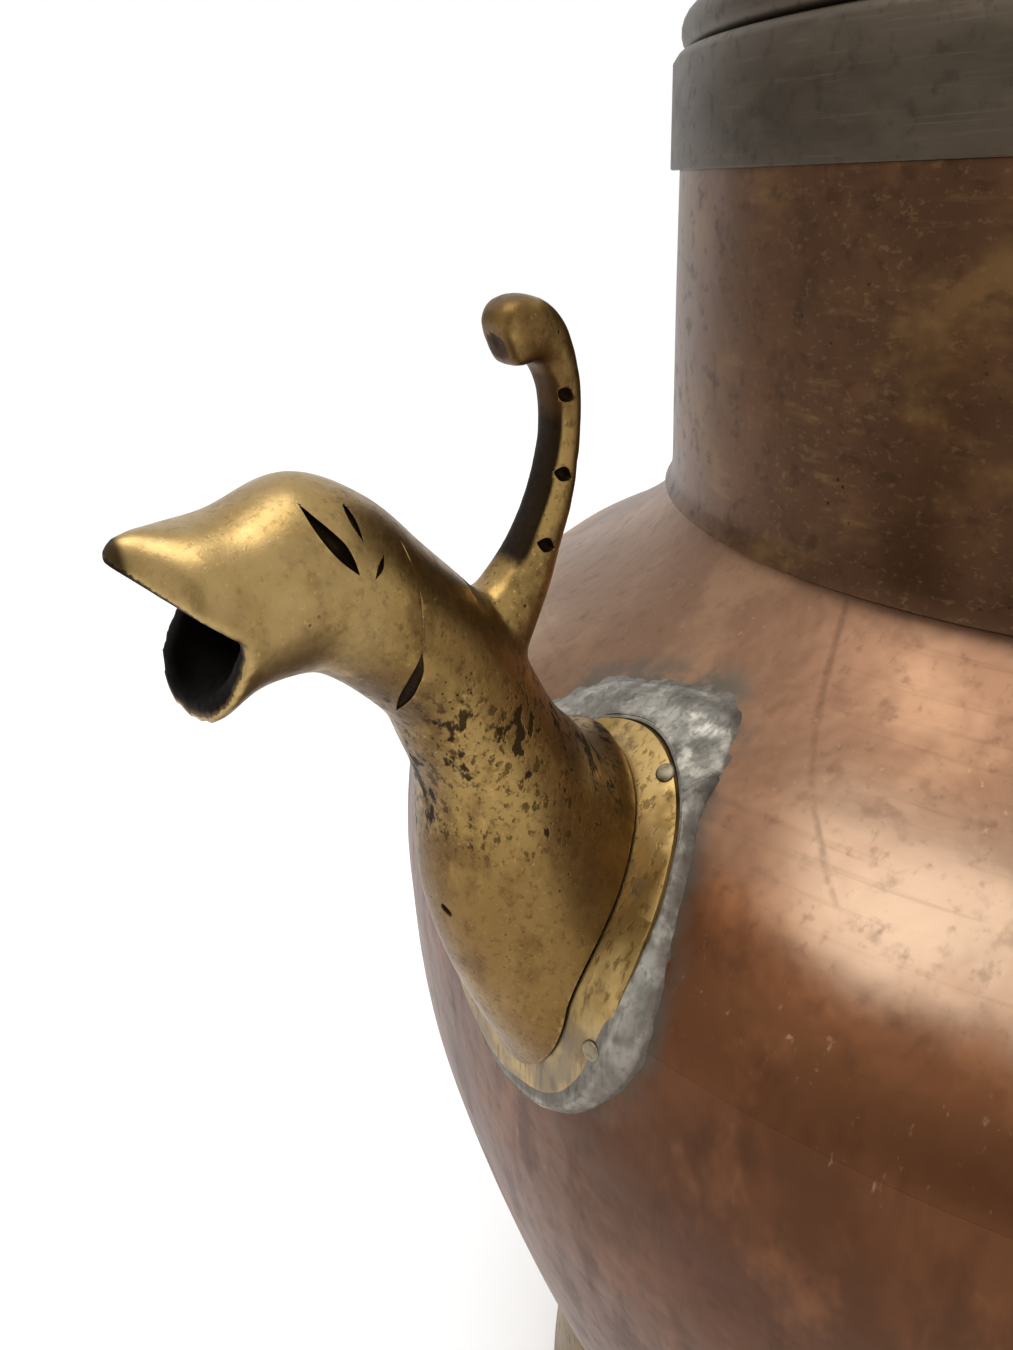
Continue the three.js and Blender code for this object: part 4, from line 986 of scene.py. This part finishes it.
# Copper left brown: dark as old leather, with ochre rub marks that run round the neck
brown_copper = metal("brown_copper", "#60432e", 0.36, [
    ("grain", (50, 50, 70), 0.42, 0.62, "#3f2c1f", 0.8, 0.03, 0),
    ("grain", (22, 22, 16), 0.5, 0.68, "#775a38", 0.6, 0.02, 0),
    ("grain", (12, 12, 1.8), 0.52, 0.72, "#8a6c44", 0.35, 0.04, 0.002,
     ("grain", (26, 26, 20), 0.45, 0.62)),
    ("grain", (4, 4, 3), 0.52, 0.7, "#38281c", 0.5, 0.08, 0),
    ("grain", (1.4, 1.4, 0.9), 0.55, 0.7, "#7e6244", 0.3, 0.04, 0.002),
    ("cells", 2.6, 0.14, 0.06, "#2a1c14", 0.8, 0.1, -0.04, ("grain", 20, 0.52, 0.62)),
    ("grain", (40, 40, 30), 0.3, 0.7, None, 0, 0, 0.15),
])
# Brass gone grey-green under hands: close and even, with a few pale nicks
dark_brass = metal("dark_brass", "#4f453a", 0.42, [
    ("grain", (40, 40, 14), 0.42, 0.64, "#3d372e", 0.8, 0.04, 0),
    ("grain", (14, 14, 6), 0.5, 0.7, "#5c5345", 0.5, 0, 0),
    ("grain", (20, 20, 0.6), 0.55, 0.72, "#6c614e", 0.3, 0.05, 0.002),
    ("cells", 7, 0.07, 0.03, "#b3aa98", 0.8, 0, -0.04, ("grain", 30, 0.56, 0.62)),
    ("grain", 2.5, 0.52, 0.7, "#332d26", 0.4, 0.08, -0.006),
])
# Cast brass: olive gold where it is rubbed, brown in its hollows (partly dirt, partly painted shade),
# peppered with small dark pits.
# The spout's has a paler head as a painted highlight, painted shade on its undersides and up the horn's
# front, a flaked neck, painted black shade in the mouth, and black in the cuts.
cast_layers = [
    ("grain", (15, 15, 24), 0.44, 0.62, "#69512d", 0.8, 0.05, 0),
    ("grain", (6, 6, 10), 0.48, 0.66, "#573f23", 0.55, 0.07, 0),
    ("grain", (2.2, 2.2, 3), 0.5, 0.68, "#a58852", 0.4, -0.03, 0.006),
    ("grain", (0.9, 0.9, 1.1), 0.52, 0.68, "#43301b", 0.5, 0.06, -0.008),
    ("grain", 0.5, 0.6, 0.72, "#c9ad6c", 0.5, -0.05, 0.006),
    ("worn", 0, 0.15, 0.8, "#c4a868", 0.7, -0.06, 0),
    # Dark brown in the hollows: partly dirt, partly painted shade
    ("deep", 0, 0.08, 0.5, "#2c2014", 0.85, 0.15, 0),
    ("cells", 1.9, 0.13, 0.06, "#2b1f13", 0.9, 0.15, -0.06, ("grain", 9, 0.54, 0.62)),
    ("cells", 1.1, 0.2, 0.1, "#382816", 0.8, 0.1, -0.04, ("grain", 14, 0.54, 0.66)),
    ("grain", 1.2, 0.4, 0.7, None, 0, 0.06, 0.008),
]
cast_brass = metal("cast_brass", "#957948", 0.32, cast_layers + [
    # Painted highlight: the head is painted paler
    ("head", 0, 0, 1, "#ac9262", 0.6, 0, 0, ("grain", 9, 0.25, 0.55)),
    # Painted shade on the faces that look down
    ("under", 0, 0, 1, "#4b351e", 0.8, 0.06, 0, ("grain", 7, 0.25, 0.6)),
    ("high", 0, 1, 0, "#664a28", 0.62, 0.03, 0, ("grain", (11, 11, 20), 0.1, 0.5)),
    ("cells", 1.3, 0.2, 0.1, "#2b1f13", 0.7, 0.12, -0.05,
     ("grain", 6, 0.5, 0.62), ("neck", 0, 0, 1)),
    ("grain", (4, 4, 7), 0.58, 0.62, "#231810", 0.9, 0.2, -0.05, ("neck", 0, 0, 1)),
    ("grain", (1.1, 1.1, 1.6), 0.55, 0.62, "#38270f", 0.7, 0.1, -0.02, ("neck", 0, 0, 1)),
    # Painted shade on the horn's front faces
    ("soot", 0, 0, 0.8, "#19120d", 0.96, 0.2, 0, ("grain", (2, 2, 3), 0.1, 0.36)),
    ("curl", 0, 0, 1, "#53391f", 0.7, 0.05, 0, ("grain", 4, 0.2, 0.5)),
    # Painted shade: near black inside the mouth and bore, browner towards the lip
    ("inside", 0, 0.35, 0.75, "#0d0a08", 1, 0.3, 0),
    ("inside", 0, 0.04, 0.3, "#43342a", 0.85, 0.2, 0, ("inside", 0, 0.9, 0.5)),
    ("cut", 0, 0.06, 0.7, "#20160d", 0.9, 0.15, 0),
])
# The handle's cast brass: the same casting, without the spout's own marks
handle_brass = metal("handle_brass", "#8f7343", 0.3, cast_layers)
# The saddle plate: filed sheet, paler, its ground lightened further as a painted highlight, scored
# along its length, under a grey film of solder low down
flange_brass = metal("flange_brass", "#b29560", 0.32, [
    ("grain", 12, 0.46, 0.64, "#745b2f", 0.7, 0.05, 0),
    ("grain", (1.2, 1.2, 14), 0.52, 0.66, "#4f3a1e", 0.6, 0.08, -0.015),
    ("grain", 5, 0.58, 0.7, "#65523f", 0.6, 0.1, 0),
    ("cells", 2, 0.14, 0.06, "#35271a", 0.8, 0.1, -0.04, ("grain", 9, 0.54, 0.62)),
    ("film", 0, 0, 1, "#73685b", 0.8, 0.12, 0.004, ("grain", (6, 6, 8), 0.26, 0.62)),
])
# Tin solder run on by hand: dull grey with pale rubbed tops that are partly a painted highlight,
# streaked the way that it ran
solder_grey = metal("run_solder", "#99948a", 0.46, [
    ("grain", (8, 6, 10), 0.42, 0.62, "#69655c", 0.8, 0.04, 0),
    ("grain", (3, 3, 10), 0.48, 0.66, "#b8b2a5", 0.6, -0.04, 0.008),
    ("grain", (0.8, 0.8, 6), 0.5, 0.68, "#5a564e", 0.45, 0.06, -0.012),
    ("low", 0, 0, 1, "#6f655a", 0.6, 0.03, 0, ("grain", (6, 6, 10), 0.3, 0.6)),
    ("edge", 0, 0, 1, "#6f6156", 0.7, 0.1, 0, ("grain", (2.6, 2.6, 4), 0.3, 0.6)),
    # Paler tops and darker hollows by relief: partly wear and dirt, partly painted highlight and
    # painted shade
    ("worn", 0, 0.1, 0.7, "#c9c4b9", 0.5, -0.08, 0),
    ("deep", 0, 0.05, 0.45, "#55504a", 0.5, 0.15, 0),
    ("grain", 1.4, 0.56, 0.72, "#5c564e", 0.4, 0.1, -0.02),
    ("cells", 5, 0.12, 0.05, "#3d3731", 0.7, 0.1, -0.04, ("grain", 10, 0.56, 0.62)),
], metallic=0.9)
# Copper rivet heads, hammered flat and greyed by the solder
rivet_copper = metal("rivet_copper", "#857a63", 0.42, [
    ("grain", 1.6, 0.44, 0.62, "#97907f", 0.7, 0.05, 0.01),
    ("grain", 0.7, 0.5, 0.7, "#5b4f3c", 0.5, 0.1, -0.01),
])
# Turned brass of the foot: tarnished gold with turning marks
sheet_brass = metal("sheet_brass", "#775e31", 0.4, [
    ("grain", (30, 30, 14), 0.44, 0.64, "#66502b", 0.8, 0.05, 0),
    ("grain", (40, 40, 0.5), 0.52, 0.7, "#a38950", 0.4, 0.04, 0.004),
    ("grain", 4, 0.54, 0.7, "#4c3820", 0.5, 0.1, 0),
    ("cells", 2.2, 0.12, 0.05, "#31241a", 0.8, 0.1, -0.04, ("grain", 14, 0.54, 0.62)),
])
# Small brass fittings: handled, with brown patches, fine dark flecks and a fine bump
brass_fitting = metal("brass_fitting", "#947842", 0.3, [
    ("grain", 8, 0.44, 0.64, "#6f592e", 0.7, 0.06, 0),
    ("grain", 2.4, 0.54, 0.7, "#4f3b20", 0.5, 0.1, -0.004),
    ("grain", 0.8, 0.4, 0.7, None, 0, 0.04, 0.004),
])

# Dress: each piece's finish and slot, the node that it stands for and the body that it moves with

finishes = [
    (beaten_copper, "beaten_copper", {"bowl": bowl, "shoulder": shoulder}),
    (brown_copper, "brown_copper", {"neck": neck, "lid_collar": lid_collar, "lid_dome": dome}),
    (dark_brass, "dark_brass", {"rim_band": band, "lid_rim": lid_rim}),
    (sheet_brass, "sheet_brass", {"foot_ring": foot}),
    (cast_brass, "cast_brass", {"spout_casting": casting}),
    (handle_brass, "cast_brass", {"handle": handle}),
    (flange_brass, "flange_brass", {"spout_flange": flange}),
    (solder_grey, "solder", {"spout_solder": solder}),
    (rivet_copper, "rivet_copper", spout_rivets),
    (brass_fitting, "brass_fitting", {
        "lid_finial_collar": finial_collar, "lid_finial": finial, "lid_finial_rove": rove,
        "lid_hinge_leaf": leaf, "neck_hinge_bracket": bracket, "hinge_pin": hinge_pin,
        **fitting_rivets}),
]
for finish, slot, pieces in finishes:
    for node, made in pieces.items():
        made.data.shade_smooth()
        made.data.set_sharp_from_angle(angle=radians(38))
        made.data.materials.clear()
        made.data.materials.append(finish)
        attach(made, "lid" if node.startswith("lid_") else "vessel")
        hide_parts(node)

# Camera: close to the spout and a little over it, looking down

camera = put_in_scene("camera", bpy.data.cameras.new("camera"))
view_right = Vector((0.8464, -0.5313, -0.0353))
view_up = Vector((0.2465, 0.3322, 0.9104))
view_turn = Matrix((view_right, view_up, view_right.cross(view_up))).transposed().to_4x4()
camera.matrix_world = Matrix.Translation(Vector((-206.6, -105.3, 310.5)) * MM) @ view_turn
FOCAL_LENGTH, PICTURE_HEIGHT = 1100, 1350  # both in the picture's pixels
camera.data.sensor_width = 36
camera.data.lens = camera.data.sensor_width * FOCAL_LENGTH / PICTURE_HEIGHT
camera.data.clip_start = 0.005
bpy.context.scene.camera = camera

# Studio: a pale floor, white all round, one big soft light over the spout's side, and grey cards
# that only show as soft shade in the metal

JUG_MIDDLE = Vector((0, 0, 0.23))


def matt(name, code, roughness):
    """A plain matt sheet of the studio's."""
    made = bpy.data.materials.new(name)
    made.use_nodes = True
    shader = made.node_tree.nodes["Principled BSDF"]
    shader.inputs["Base Color"].default_value = srgb(code)
    shader.inputs["Roughness"].default_value = roughness
    return made


def flat_sheet(name, half_width, half_height, finish):
    """A sheet lying flat, with its finish."""
    bm = bmesh.new()
    bmesh.ops.create_grid(bm, x_segments=1, y_segments=1, size=1)
    bmesh.ops.scale(bm, verts=bm.verts, vec=(half_width, half_height, 1))
    made = piece(name, bm)
    made.data.materials.append(finish)
    return made


flat_sheet("floor", 6, 6, matt("white_paper", "#ffffff", 0.9))


def facing(made, azimuth, elevation, distance):
    """Puts a light or card round the jug's middle, turned towards it."""
    a, e = radians(azimuth), radians(elevation)
    way = Vector((cos(a) * cos(e), sin(a) * cos(e), sin(e)))
    made.matrix_world = (Matrix.Translation(way * distance + JUG_MIDDLE)
                         @ way.to_track_quat("Z", "Y").to_matrix().to_4x4())


SOFTBOX_SIDE, SOFTBOX_STRENGTH = 0.9, 3.2
lamp = bpy.data.lights.new("softbox_over_spout", "AREA")
lamp.size = SOFTBOX_SIDE
lamp.energy = SOFTBOX_STRENGTH * pi * SOFTBOX_SIDE ** 2
facing(put_in_scene("softbox_over_spout", lamp), 160, 66, 1.3)

grey = matt("grey_card", "#a9a49e", 1)
for i, (azimuth, elevation, distance, half_width, half_height) in enumerate([
        (116, 0, 1.5, 0.45, 0.65), (-150, 12, 1.6, 0.45, 0.6)]):
    card = flat_sheet(f"card_{i + 1}", half_width, half_height, grey)
    facing(card, azimuth, elevation, distance)
    card.visible_camera = card.visible_shadow = card.visible_diffuse = False

world = bpy.data.worlds.new("studio")
bpy.context.scene.world = world
world.use_nodes = True
world.node_tree.nodes["Background"].inputs["Color"].default_value = (1, 1, 1, 1)
bpy.context.scene.view_settings.view_transform = "Standard"
